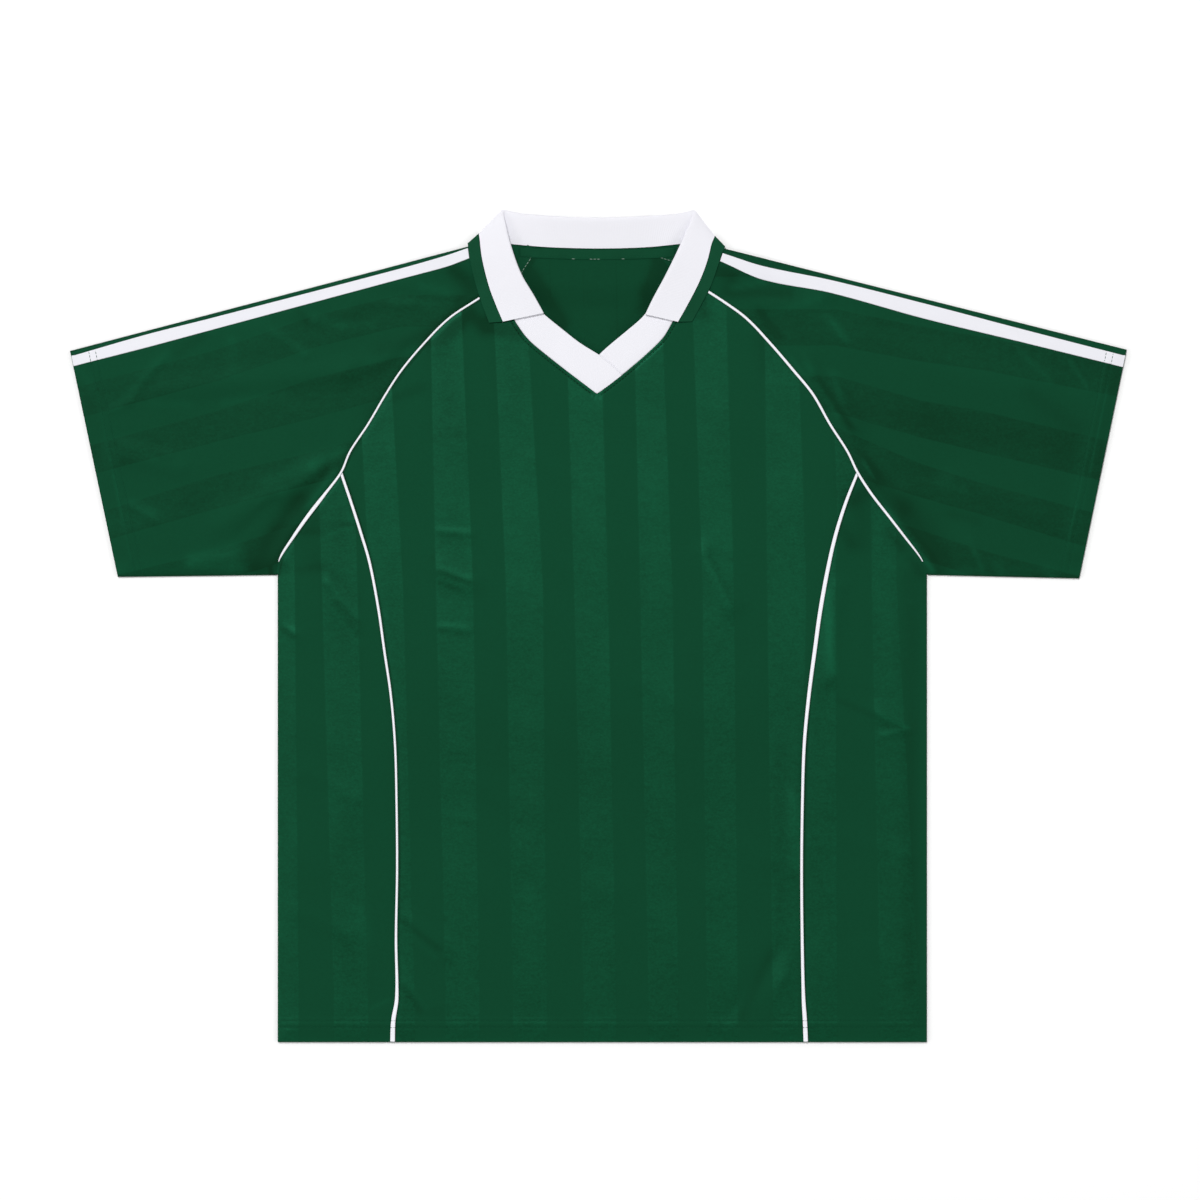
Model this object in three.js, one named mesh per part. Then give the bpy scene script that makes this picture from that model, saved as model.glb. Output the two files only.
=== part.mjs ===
// A football jersey laid flat on its back and seen from the front.
// Millimetres, +Z up. The origin is on the floor under the middle of the laid garment.
// In the tables, "across" runs from the middle line to the right and "up" from the bottom hem to the collar.
import * as THREE from "three";

// Driving dimensions
const WALL = 1.2;
const GAP = 0.3;
const LENGTH = 767.8;
const MIDDLE = -1.3;
const UNDERARM = 431;
const FORK = 525.5;
const TIP = 597.8;
const AIR = 1.4;
const AIR_EDGE = 16;
const NECK_LIFT = WALL + GAP;
const SEAM_CALM = 4;
const SEAM_FADE = 16;
const PIPING_WIDTH = 3.8;
const TAPE_CLEAR = 0.5;
const EDGE_ROUND = 2.2;
const ROLL = 1.3;

// A table with named columns, one row after another.
function table(names, ...rows) {
  return rows.map((row) => Object.fromEntries(names.map((name, place) => [name, row[place]])));
}

// The outline and seams of each side, and how the collar lies there
const LEFT = {
  name: "left",
  hand: -1,
  edge: -296,
  corner: { across: -91.8, up: 697.6 },
  raglan: table(["up", "across"],
    [431, -297], [446, -294], [466, -281.5], [486, -267.5], [506, -252], [525.5, -237.5], [545, -229],
    [570, -212.5], [598, -196], [620, -181.5], [645, -160.5], [668, -137.5], [684, -113.5]),
  panelSeam: table(["up", "across"],
    [0, -190], [20, -189.2], [41, -186], [96, -186.7], [160, -185.7], [220, -186.2], [274, -187.6],
    [320, -191.5], [362, -197.6], [400, -203], [442, -211], [471, -219.5], [499, -228.5], [525.5, -237.5]),
  neck: table(["up", "across"],
    [597.8, -1.3], [628, -40.8], [648.6, -65.3], [666.6, -78.1], [682, -86.3], [697.6, -91.8],
    [720, -98.3], [738.8, -102]),
  backRaglan: table(["up", "across"],
    [431, -297], [480, -257.5], [530, -217.5], [580, -177.5], [630, -137.5], [680, -97], [712, -71.2],
    [733.2, -55.5]),
  backNeck: table(["up", "across"], [735.6, -82], [738.8, -102]),
  cuff: { top: [-487.6, 637.8], bottom: [-443.5, 429.2] },
  stripe: table(["across", "top", "bottom"],
    [-484, 633.4, 623.6], [-416.9, 652.8, 640.7], [-355.8, 668.3, 657.2], [-183.2, 713.5, 703.7],
    [-139.9, 725.8, 715.3], [-122, 732.2, 722.2]),
};
const RIGHT = {
  name: "right",
  hand: 1,
  edge: 303,
  corner: { across: 84.6, up: 702.4 },
  raglan: table(["up", "across"],
    [431, 304], [446, 297.5], [466, 282.5], [486, 267], [506, 251.5], [525.5, 239], [545, 229.5],
    [570, 213.5], [598, 197.5], [620, 179.5], [645, 158], [668, 136], [684, 114]),
  panelSeam: table(["up", "across"],
    [0, 191.2], [20, 190.3], [41, 189], [96, 187.8], [160, 187.3], [220, 188], [274, 189.7],
    [320, 194], [362, 199.5], [400, 204.8], [442, 212.6], [471, 219.5], [499, 228.5], [525.5, 239]),
  neck: table(["up", "across"],
    [597.8, -1.3], [615.7, 22.3], [646.8, 57.1], [664.4, 68.5], [683, 77], [702.4, 84.6],
    [720, 91.8], [736.5, 99]),
  backRaglan: table(["up", "across"],
    [431, 304], [480, 259], [530, 217.5], [580, 176], [630, 134.5], [680, 93], [712, 67], [733.2, 50.5]),
  backNeck: table(["up", "across"], [735.2, 78], [736.5, 99]),
  cuff: { top: [487.4, 639], bottom: [443.5, 427.8] },
  stripe: table(["across", "top", "bottom"],
    [484, 633.6, 622.6], [392, 657.4, 645.2], [299.2, 681.8, 667.7], [214.4, 703, 691], [150.8, 716.1, 703.5],
    [118.2, 726.6, 718]),
};

// The collar, station by station round the neck: the neck seam, the roll, the edge of the white, and the
// outer edge. Turn is 0 where the fall lies in front, 90 at the shoulder and 180 where it lies behind.
const COLLAR = table(
  ["neckX", "neckY", "rollX", "rollY", "whiteX", "whiteY", "outerX", "outerY", "roll", "turn"],
  [-78.1, 666.6, -50.4, 672.5, -88.1, 664.6, -100.8, 663.6, 7.6, 0],
  [-86.0, 682.0, -59.0, 688.0, -94.8, 680.5, -107.0, 680.0, 8.6, 0],
  [-91.6, 699.0, -71.2, 708.9, -101.3, 698.4, -112.8, 698.0, 8.8, 0],
  [-97.8, 720.0, -80.2, 733.6, -107.2, 722.4, -118.0, 720.0, 7.8, 0],
  [-100.5, 735.0, -85.9, 757.0, -109.4, 740.4, -119.9, 733.2, 5.4, 0],
  [-101.4, 741.2, -87.4, 764.9, -110.6, 747.4, -121.6, 738.6, 2.85, 90],
  [-97.0, 739.3, -83.6, 765.6, -106.0, 745.2, -117.4, 735.6, 3.2, 180],
  [-84.0, 736.8, -70.0, 764.4, -90.0, 739.5, -99.0, 729.5, 4.6, 180],
  [-52.0, 733.9, -48.0, 762.4, -56.0, 735.2, -60.0, 724.5, 6.6, 180],
  [-25.0, 732.7, -23.0, 760.9, -26.0, 733.2, -28.0, 722.4, 7.4, 180],
  [0.6, 732.3, 0.6, 760.5, 0.6, 732.8, 0.6, 721.9, 7.6, 180],
  [26.0, 732.7, 24.0, 760.9, 27.0, 733.2, 29.0, 722.4, 7.4, 180],
  [50.0, 733.9, 47.0, 762.2, 54.0, 735.2, 58.0, 724.5, 6.6, 180],
  [80.0, 737.0, 69.0, 763.8, 87.0, 738.6, 96.0, 728.0, 4.6, 180],
  [94.0, 738.4, 83.2, 765.0, 102.0, 743.4, 113.4, 733.8, 3.2, 180],
  [99.0, 739.4, 87.4, 764.0, 107.6, 745.6, 118.0, 735.4, 2.85, 90],
  [97.6, 733.0, 82.4, 752.0, 104.2, 736.4, 114.6, 729.8, 5.4, 0],
  [91.2, 720.0, 71.8, 728.0, 99.8, 719.2, 110.2, 716.6, 7.8, 0],
  [83.4, 702.0, 60.4, 705.0, 92.3, 700.0, 103.4, 697.6, 8.8, 0],
  [76.2, 682.0, 50.4, 686.6, 82.2, 680.4, 94.8, 680.6, 8.6, 0],
  [68.3, 664.8, 43.0, 671.3, 73.2, 664.4, 86.3, 664.8, 7.6, 0],
);

// The inner edges of the two rib bands of the V, from the collar down to the crossing
const BAND_LEFT_INNER = [[-55.8, 678.4], [-50.3, 671.7], [-34, 658.2], [-17.5, 645.3], [-0.2, 634.5], [12, 624.6]];
const BAND_RIGHT_INNER = [[48.5, 679.3], [40, 668.4], [25, 655.4], [8, 641.2], [-5, 629]];
const BAND_RIGHT_END = [[2.2, 602.8], [-8, 612]];
const BAND_TOP = { left: 674, right: 676 };
const BAND_CLIMB = { from: -42, to: -22 };

// The largest folds of the front, each from one end to the other. A hollow has a height below nothing.
const FOLDS = table(["fromX", "fromY", "toX", "toY", "width", "height"],
  [-400, 601, -235, 619, 11, 1.1],
  [-235, 619, -157, 647, 11, 1.2],
  [-355, 481, -270, 531, 12, 1.2],
  [-270, 531, -231, 552, 12, 1.1],
  [-305, 439, -284, 485, 13, -1.1],
  [-284, 485, -242, 538, 13, -1.1],
  [-440, 541, -386, 529, 9, 0.8],
  [192, 626, 235, 570, 9, 1.6],
  [249, 513, 319, 436, 13, -1.2],
  [150, 679, 210, 690, 9, 1.0],
  [386, 644, 418, 612, 9, 0.9],
  [330, 520, 440, 470, 12, 0.8],
  [-252, 425, -220, 386, 9, 1.1],
  [97, 453, 123, 403, 10, 1.1],
  [-146, 438, -117, 423, 10, 0.9],
  [258, 306, 288, 292, 10, 1.0],
  [140, 27, 191, 82, 11, 1.2],
  [-182, 116, -144, 86, 11, 1.0],
  [-293, 382, -277, 374, 8, 0.8],
);

const mix = (from, to, part) => from + (to - from) * part;

function ease(part) {
  const held = Math.min(1, Math.max(0, part));
  return held * held * (3 - 2 * held);
}

// The value of one column at a place along another, on a smooth line through the rows.
function through(rows, along, column, place) {
  const last = rows.length - 1;
  const slope = (row) => {
    const before = rows[Math.max(0, row - 1)];
    const after = rows[Math.min(last, row + 1)];
    return (after[column] - before[column]) / (after[along] - before[along]);
  };
  let row = 0;
  while (row < last - 1 && place > rows[row + 1][along]) row += 1;
  const span = rows[row + 1][along] - rows[row][along];
  const t = (place - rows[row][along]) / span;
  const hold = 2 * t ** 3 - 3 * t ** 2 + 1;
  const rise = t ** 3 - 2 * t ** 2 + t;
  const settle = t ** 3 - t ** 2;
  return hold * rows[row][column] + (1 - hold) * rows[row + 1][column]
    + span * (rise * slope(row) + settle * slope(row + 1));
}

// Evenly spaced values from one end to the other, both ends included.
function spaced(from, to, count) {
  return Array.from({ length: count + 1 }, (_, step) => mix(from, to, step / count));
}

// The seams that two pieces share are stepped at the same heights, so that their edges match.
const BELOW_ARM = spaced(0, UNDERARM, 20);
const BESIDE_PANEL = spaced(UNDERARM, FORK, 5).slice(1);
const BELOW_TIP = spaced(FORK, TIP, 4).slice(1);
const BACK_BELOW_ARM = spaced(0, UNDERARM, 4);
const besideNeck = (side) => spaced(TIP, side.corner.up, 6).slice(1);

for (const side of [LEFT, RIGHT]) {
  side.raglan.push(side.corner);
}

// How far a seam's edge stands off its line so that the gap is square to the seam.
function standOff(rows, up) {
  const step = 2;
  const lean = (through(rows, "up", "across", up + step) - through(rows, "up", "across", up - step)) / (2 * step);
  return 0.5 * GAP * Math.hypot(1, lean);
}

function seamAcross(rows, up, toward) {
  return through(rows, "up", "across", up) + toward * standOff(rows, up);
}

// The distance from a place to the nearest point of a stretch.
function distanceTo(x, y, [fromX, fromY], [toX, toY]) {
  const runX = toX - fromX;
  const runY = toY - fromY;
  const along = ((x - fromX) * runX + (y - fromY) * runY) / (runX ** 2 + runY ** 2);
  const held = Math.min(1, Math.max(0, along));
  return Math.hypot(x - fromX - held * runX, y - fromY - held * runY);
}

function distanceToLine(x, y, line) {
  let nearest = Infinity;
  for (let point = 1; point < line.length; point += 1) {
    nearest = Math.min(nearest, distanceTo(x, y, line[point - 1], line[point]));
  }
  return nearest;
}

const asLine = (rows) => rows.map((row) => [row.across, row.up]);
const OUTLINE = [LEFT, RIGHT].map((side) => [
  asLine(side.neck).at(-1), side.cuff.top, side.cuff.bottom, [side.edge, UNDERARM], [side.edge, 0], [0, 0],
]);
const SEAMS = [LEFT, RIGHT].flatMap((side) => [asLine(side.raglan), asLine(side.panelSeam), asLine(side.neck)]);

// The heights of the layers. Both lie higher over the back of the collar, and air lifts the front.
function lift(x, y) {
  const reach = Math.hypot(x / 140, (y - 745) / 45);
  return NECK_LIFT * (1 - ease((reach - 1) / 0.6));
}

function folds(x, y) {
  return FOLDS.reduce((sum, fold) => {
    const off = distanceTo(x, y, [fold.fromX, fold.fromY], [fold.toX, fold.toY]);
    return sum + fold.height * Math.exp(-((off / fold.width) ** 2));
  }, 0);
}

const backUnder = (x, y) => lift(x, y);
const backTop = (x, y) => backUnder(x, y) + WALL;

function frontUnder(x, y) {
  const toOutline = Math.min(...OUTLINE.map((line) => distanceToLine(x, y, line)));
  const toSeam = Math.min(toOutline, ...SEAMS.map((line) => distanceToLine(x, y, line)));
  const calm = ease((toSeam - SEAM_CALM) / SEAM_FADE);
  return backTop(x, y) + GAP + AIR * ease(toOutline / AIR_EDGE) + calm * folds(x, y);
}

const frontTop = (x, y) => frontUnder(x, y) + WALL;

// A place on a wall: where its inner face and its outer face are.
function pair(innerX, innerY, innerZ, outerX, outerY, outerZ) {
  return { inner: new THREE.Vector3(innerX, innerY, innerZ), outer: new THREE.Vector3(outerX, outerY, outerZ) };
}

const frontPair = (x, y) => pair(x, y, frontUnder(x, y), x, y, frontTop(x, y));
const backPair = (x, y) => pair(x, y, backTop(x, y), x, y, backUnder(x, y));

// The triangles of one grid of numbered places, turned so that they face from the inner to the outer face.
function cover(numbers, places) {
  const triangles = [];
  for (let row = 1; row < numbers.length; row += 1) {
    for (let column = 1; column < numbers[row].length; column += 1) {
      const [a, b] = numbers[row - 1].slice(column - 1, column + 1);
      const [d, c] = numbers[row].slice(column - 1, column + 1);
      triangles.push([a, b, c], [a, c, d]);
    }
  }
  const whole = triangles.filter(([a, b, c]) => a !== b && b !== c && c !== a);
  const normal = new THREE.Vector3();
  const facing = whole.reduce((sum, [a, b, c]) => {
    new THREE.Triangle(places[a].outer, places[b].outer, places[c].outer).getNormal(normal);
    return sum + normal.dot(places[a].outer.clone().sub(places[a].inner));
  }, 0);
  return facing > 0 ? whole : whole.map(([a, b, c]) => [a, c, b]);
}

// A closed wall from grids of places. Grids that share an edge are joined there.
function wall(grids) {
  const places = [];
  const known = new Map();
  const number = (place) => {
    const key = [...place.inner.toArray(), ...place.outer.toArray()].map((value) => value.toFixed(3)).join();
    if (!known.has(key)) {
      known.set(key, places.length);
      places.push(place);
    }
    return known.get(key);
  };
  const faces = grids.flatMap((grid) => cover(grid.map((row) => row.map(number)), places));
  const edges = new Set(faces.flatMap(([a, b, c]) => [`${a},${b}`, `${b},${c}`, `${c},${a}`]));
  const count = places.length;
  const index = faces.flatMap(([a, b, c]) => [a + count, b + count, c + count, a, c, b]);
  for (const edge of edges) {
    const [a, b] = edge.split(",").map(Number);
    if (!edges.has(`${b},${a}`)) {
      index.push(a, b, b + count, a, b + count, a + count);
    }
  }
  const points = [...places.map((place) => place.inner), ...places.map((place) => place.outer)];
  const geometry = new THREE.BufferGeometry().setFromPoints(points);
  geometry.setIndex(index);
  geometry.computeVertexNormals();
  return geometry;
}

// Rows of places between an outer and an inner edge, each given by height.
function rowsBetween(heights, outer, inner, columns, place) {
  return heights.map((up) => spaced(outer(up), inner(up), columns).map((across) => place(across, up)));
}

// The front panels
function frontHalf(side) {
  const heights = [...BELOW_ARM, ...BESIDE_PANEL, ...BELOW_TIP, ...besideNeck(side)];
  const outer = (up) => {
    if (up === side.corner.up) return side.corner.across;
    return seamAcross(up < FORK ? side.panelSeam : side.raglan, up, -side.hand);
  };
  const inner = (up) => {
    if (up === side.corner.up) return side.corner.across;
    return up <= TIP ? MIDDLE : seamAcross(side.neck, up, side.hand);
  };
  return rowsBetween(heights, outer, inner, 10, frontPair);
}

function sidePanel(side) {
  const heights = [...BELOW_ARM, ...BESIDE_PANEL];
  const top = side.panelSeam.at(-1).across + side.hand * 0.5;
  const outer = (up) => {
    if (up === FORK) return top;
    return up <= UNDERARM ? side.edge : seamAcross(side.raglan, up, -side.hand);
  };
  const inner = (up) => (up === FORK ? top : seamAcross(side.panelSeam, up, side.hand));
  return rowsBetween(heights, outer, inner, 5, (x, y) => frontPair(x, y === FORK ? y - 1 : y));
}

// The back, one panel from side to side
function backPanel() {
  const raglanHeights = LEFT.backRaglan.map((row) => row.up).slice(1);
  const edgeOf = (side) => (up) => {
    return up <= UNDERARM ? side.edge : seamAcross(side.backRaglan, up, -side.hand);
  };
  const place = (x, y) => {
    const top = LEFT.backRaglan.at(-1).up;
    return backPair(x, y === top ? 731.4 + 0.0006 * x ** 2 : y);
  };
  return rowsBetween([...BACK_BELOW_ARM, ...raglanHeights], edgeOf(LEFT), edgeOf(RIGHT), 12, place);
}

// A sleeve is a flattened tube. Each line of the cloth runs from the seam to the cuff.
function sleeve(side) {
  const steps = 20;
  const toward = side.hand;
  const frontUps = [UNDERARM, ...BESIDE_PANEL, ...BELOW_TIP, ...besideNeck(side)];
  const neckUps = side.neck.map((row) => row.up).filter((up) => up > side.corner.up);
  const frontSeam = [
    ...frontUps.map((up) => [seamAcross(side.raglan, up, toward), up]),
    ...neckUps.map((up) => [seamAcross(side.neck, up, toward), up]),
  ];
  const backSeam = [
    ...side.backRaglan.map((row) => [seamAcross(side.backRaglan, row.up, toward), row.up]),
    ...asLine(side.backNeck),
  ];
  backSeam[0] = frontSeam[0];
  backSeam[backSeam.length - 1] = frontSeam.at(-1);
  const layer = (seam, step) => {
    const lengths = seam.map((point, place) => (place ? Math.hypot(
      point[0] - seam[place - 1][0], point[1] - seam[place - 1][1]) : 0));
    const whole = lengths.reduce((sum, length) => sum + length, 0);
    let run = 0;
    return seam.map((point, place) => {
      run += lengths[place];
      const cuff = side.cuff.bottom.map((value, axis) => mix(value, side.cuff.top[axis], run / whole));
      return point.map((value, axis) => mix(value, cuff[axis], step / steps));
    });
  };
  const drawnIn = (line, amount) => {
    const moved = line.map((point) => [...point]);
    for (const [end, next] of [[0, 1], [line.length - 1, line.length - 2]]) {
      const length = Math.hypot(line[next][0] - line[end][0], line[next][1] - line[end][1]);
      moved[end] = line[end].map((value, axis) => mix(value, line[next][axis], amount / length));
    }
    return moved;
  };
  return Array.from({ length: steps + 1 }, (_, step) => {
    const front = layer(frontSeam, step);
    const back = layer(backSeam, step);
    const fold = (end) => {
      const [outerX, outerY] = front.at(end);
      const [innerX, innerY] = drawnIn(front, 0.7 * EDGE_ROUND).at(end);
      const middle = lift(outerX, outerY) + WALL + 0.5 * GAP;
      return pair(innerX, innerY, middle, outerX, outerY, middle);
    };
    return [
      fold(0), ...drawnIn(front, EDGE_ROUND).map(([x, y]) => frontPair(x, y)),
      fold(-1), ...drawnIn(back, EDGE_ROUND).reverse().map(([x, y]) => backPair(x, y)), fold(0),
    ];
  });
}

// A flat strip on the front's outer face, from rows of places across it
function onFront(rows) {
  return rows.map((row) => row.map(([x, y]) => {
    const under = frontTop(x, y) + TAPE_CLEAR;
    return pair(x, y, under, x, y, under + WALL);
  }));
}

function piping(rows, from, to, steps) {
  const point = (up) => new THREE.Vector2(through(rows, "up", "across", up), up);
  return onFront(spaced(from, to, steps).map((up) => {
    const run = point(up + 1).sub(point(up - 1)).normalize();
    const here = point(up);
    return [-0.5, 0, 0.5].map((part) => [here.x + part * PIPING_WIDTH * run.y, here.y - part * PIPING_WIDTH * run.x]);
  }));
}

function sleeveStripe(side) {
  const ends = [side.stripe[0].across, side.stripe.at(-1).across];
  const rows = side.hand < 0 ? side.stripe : [...side.stripe].reverse();
  return onFront(spaced(...ends, 24).map((x) => {
    const top = through(rows, "across", "top", x);
    const bottom = through(rows, "across", "bottom", x);
    return [bottom, 0.5 * (bottom + top), top].map((y) => [x, y]);
  }));
}

// The rib bands of the V lie level with the front, and the left one climbs over the right.
function band(outerPoints, innerPoints, rise) {
  return outerPoints.map((outer, place) => [0, 1 / 3, 2 / 3, 1].map((part) => {
    const x = mix(outer[0], innerPoints[place][0], part);
    const y = mix(outer[1], innerPoints[place][1], part);
    const under = frontUnder(x, y) + rise(x);
    return pair(x, y, under, x, y, under + WALL);
  }));
}

// Places of the neck's edge at the heights where the front panel has its corners, and on the line between
function neckEdge(side, up) {
  const ups = [TIP, ...besideNeck(side)];
  const after = Math.max(1, ups.findIndex((value) => value >= up));
  const [low, high] = [ups[after - 1], ups[after]];
  const across = (value) => seamAcross(side.neck, value, -side.hand);
  const inward = side.hand * -GAP;
  return [mix(across(low), across(high), (up - low) / (high - low)) + inward, up];
}

function bandLeft() {
  const [nearTip, ...above] = besideNeck(LEFT);
  const outer = [BAND_TOP.left, above[2], above[1], above[0], nearTip].map((up) => neckEdge(LEFT, up));
  const crossing = [neckEdge(RIGHT, mix(TIP, besideNeck(RIGHT)[0], 0.45)), neckEdge(RIGHT, besideNeck(RIGHT)[0])];
  const inner = [...BAND_LEFT_INNER, crossing[1]];
  const climb = (x) => (WALL + GAP) * ease((x - BAND_CLIMB.from) / (BAND_CLIMB.to - BAND_CLIMB.from));
  return band([...outer, [MIDDLE, TIP + 2 * GAP], crossing[0]], inner, climb);
}

function bandRight() {
  const [nearTip, ...above] = besideNeck(RIGHT);
  const outer = [BAND_TOP.right, above[2], above[1], above[0], nearTip].map((up) => neckEdge(RIGHT, up));
  return band([...outer, BAND_RIGHT_END[0]], [...BAND_RIGHT_INNER, BAND_RIGHT_END[1]], () => 0);
}

// The collar's cloth as a surface round the neck. The seam end of its stand is level with the front or the
// back, its roll stands higher, and its fall comes down over the outside.
function collarSurface() {
  const line = (xName, yName, height) => new THREE.CatmullRomCurve3(
    COLLAR.map((row, place) => new THREE.Vector3(row[xName], row[yName], height(row, place))));
  const ends = [0, 1, COLLAR.length - 2, COLLAR.length - 1];
  const level = (xName, yName, front, back) => (row, place) => {
    const [x, y] = [row[xName], row[yName]];
    if (row.turn === 90) return lift(x, y) + WALL + 0.5 * GAP;
    return row.turn === 0 ? front(x, y, place) : back(x, y);
  };
  const overBand = (x, y, place) => Math.max(frontUnder(x, y), ends.includes(place) ? 4.5 : 4.1) + 0.5 * WALL;
  const onCloth = (x, y) => frontTop(x, y) + TAPE_CLEAR + 0.5 * WALL;
  const onFloor = () => 0.5 * WALL;
  const neck = line("neckX", "neckY", level("neckX", "neckY", overBand, (x, y) => backUnder(x, y) + 0.5 * WALL));
  const roll = line("rollX", "rollY", (row) => row.roll);
  const outer = line("outerX", "outerY", level("outerX", "outerY", onCloth, onFloor));
  const white = line("whiteX", "whiteY", level("whiteX", "whiteY", (x, y) => onCloth(x, y) + 1.2, onFloor));
  return { neck, roll, white, outer };
}

// Which way the fall lies from the stand: up in front, out at the shoulder and down behind.
function fallSide(surface, place) {
  const spot = place * (COLLAR.length - 1);
  const before = Math.min(COLLAR.length - 2, Math.floor(spot));
  const turn = THREE.MathUtils.degToRad(mix(COLLAR[before].turn, COLLAR[before + 1].turn, spot - before));
  const rise = surface.roll.getPoint(place).sub(surface.neck.getPoint(place)).setZ(0).normalize();
  const aside = new THREE.Vector3(-rise.y, rise.x, 0).multiplyScalar(rise.x > 0 ? 1 : -1);
  const side = new THREE.Vector3(0, 0, Math.cos(turn)).addScaledVector(aside, Math.sin(turn));
  return { rise, side };
}

// A wall about a grid of middle points, half its thickness to each side
function thicken(grid) {
  const at = (row, column) => grid[Math.min(grid.length - 1, Math.max(0, row))][column];
  return grid.map((points, row) => points.map((point, column) => {
    const along = at(row + 1, column).clone().sub(at(row - 1, column));
    const across = points[Math.min(points.length - 1, column + 1)].clone().sub(points[Math.max(0, column - 1)]);
    const out = along.cross(across).setLength(0.5 * WALL);
    return { inner: point.clone().sub(out), outer: point.clone().add(out) };
  }));
}

const COLLAR_STEPS = 2 * (COLLAR.length - 1);

function collarWhite() {
  const surface = collarSurface();
  return thicken(spaced(0, 1, COLLAR_STEPS).map((place) => {
    const { rise, side } = fallSide(surface, place);
    const neck = surface.neck.getPoint(place);
    const roll = surface.roll.getPoint(place);
    const white = surface.white.getPoint(place);
    const centre = roll.clone().addScaledVector(side, ROLL);
    const bend = [-90, -35, 35, 90].map((degrees) => {
      const angle = THREE.MathUtils.degToRad(degrees);
      return centre.clone().addScaledVector(rise, ROLL * Math.cos(angle)).addScaledVector(side, ROLL * Math.sin(angle));
    });
    return [neck, neck.clone().lerp(roll, 0.5), ...bend, bend[3].clone().lerp(white, 0.5), white];
  }));
}

function collarEdge() {
  const surface = collarSurface();
  return thicken(spaced(0, 1, COLLAR_STEPS).map((place) => {
    const white = surface.white.getPoint(place);
    const outer = surface.outer.getPoint(place);
    const start = white.clone().lerp(outer, 1.6 * GAP / white.distanceTo(outer));
    return [start, start.clone().lerp(outer, 0.5), outer];
  }));
}

// The tape inside the neck lies on the back's inner face.
function neckTape() {
  return spaced(-72, 70, 12).map((x) => {
    const bottom = 721.8 + 0.0005 * x ** 2;
    const top = 730.8 + 0.0004 * x ** 2;
    return spaced(bottom, top, 1).map((y) => {
      const under = backTop(x, y) + GAP;
      return pair(x, y, under, x, y, under + 0.8 * WALL);
    });
  });
}

// Cloth colours
const GREEN = { color: 0x13483b, roughness: 0.55, metalness: 0 };
const SLEEVE_GREEN = { color: 0x12442c, roughness: 0.55, metalness: 0 };
const RIB_GREEN = { color: 0x184732, roughness: 0.85, metalness: 0 };
const WHITE = { color: 0xf1f1f7, roughness: 0.8, metalness: 0 };

const jersey = new THREE.Group();
jersey.position.y = -0.5 * LENGTH;

function sew(name, grids, look) {
  const mesh = new THREE.Mesh(wall(grids), new THREE.MeshStandardMaterial(look));
  mesh.name = name;
  jersey.add(mesh);
}

sew("front_body", [frontHalf(LEFT), frontHalf(RIGHT)], GREEN);
sew("back_body", [backPanel()], GREEN);
for (const side of [LEFT, RIGHT]) {
  const leafEdge = side.hand < 0 ? 683.6 : 690.5;
  sew(`front_side_${side.name}`, [sidePanel(side)], GREEN);
  sew(`sleeve_${side.name}`, [sleeve(side)], SLEEVE_GREEN);
  sew(`sleeve_stripe_${side.name}`, [sleeveStripe(side)], WHITE);
  sew(`piping_raglan_${side.name}`, [piping(side.raglan, 437, leafEdge, 22)], WHITE);
  sew(`piping_side_${side.name}`, [piping(side.panelSeam, 2, FORK - 7, 28)], WHITE);
}
sew("neck_band_left", [bandLeft()], WHITE);
sew("neck_band_right", [bandRight()], WHITE);
sew("collar", [collarWhite()], WHITE);
sew("collar_trim", [collarEdge()], RIB_GREEN);
sew("back_neck_tape", [neckTape()], RIB_GREEN);

export default jersey;
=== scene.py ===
import math
import bpy
import numpy as np
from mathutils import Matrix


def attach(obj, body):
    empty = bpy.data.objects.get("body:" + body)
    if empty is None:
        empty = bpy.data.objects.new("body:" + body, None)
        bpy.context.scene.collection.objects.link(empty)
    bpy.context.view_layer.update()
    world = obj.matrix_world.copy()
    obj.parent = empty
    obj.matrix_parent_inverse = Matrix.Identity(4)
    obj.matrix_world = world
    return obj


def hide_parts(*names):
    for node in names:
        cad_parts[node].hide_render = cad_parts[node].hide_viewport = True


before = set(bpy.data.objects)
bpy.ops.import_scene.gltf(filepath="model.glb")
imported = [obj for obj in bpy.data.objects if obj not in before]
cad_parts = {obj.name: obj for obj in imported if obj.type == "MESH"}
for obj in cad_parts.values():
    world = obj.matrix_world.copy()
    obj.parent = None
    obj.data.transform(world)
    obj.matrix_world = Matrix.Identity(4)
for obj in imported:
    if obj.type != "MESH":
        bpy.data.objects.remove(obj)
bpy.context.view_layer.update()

# Sizes in millimetres, as across from the middle line and up from the bottom hem. Blender gets metres.
MM = 0.001
PIXEL = 0.923
LENGTH = 767.8
WALL = 1.2
BACK_WALL = 1.1
GAP = 0.3
CLOTH = 0.7
MIDDLE = -1.3
UNDERARM = 431.0
FORK = 525.5
TIP = 597.8
AIR = 1.4
AIR_EDGE = 16.0
NECK_LIFT = WALL + GAP
SEAM_CALM = 4.0
SEAM_FADE = 16.0
EDGE_ROUND = 3.0
STEP = 2.2
ROLL = 1.5
HEM_LINES = (13.7, 20.0)
WELT = 3.0
EDGE_CLEAR = 0.7
FORK_CLEAR = 1.5
PIPING_CREST = 1.15
PIPING_FLANK = 2.1
TAPE_RISE = 2.1
RIB_PITCH = 1.45
CUFF_SPAN = 32.0
CUFF_STEP = 0.9

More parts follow.
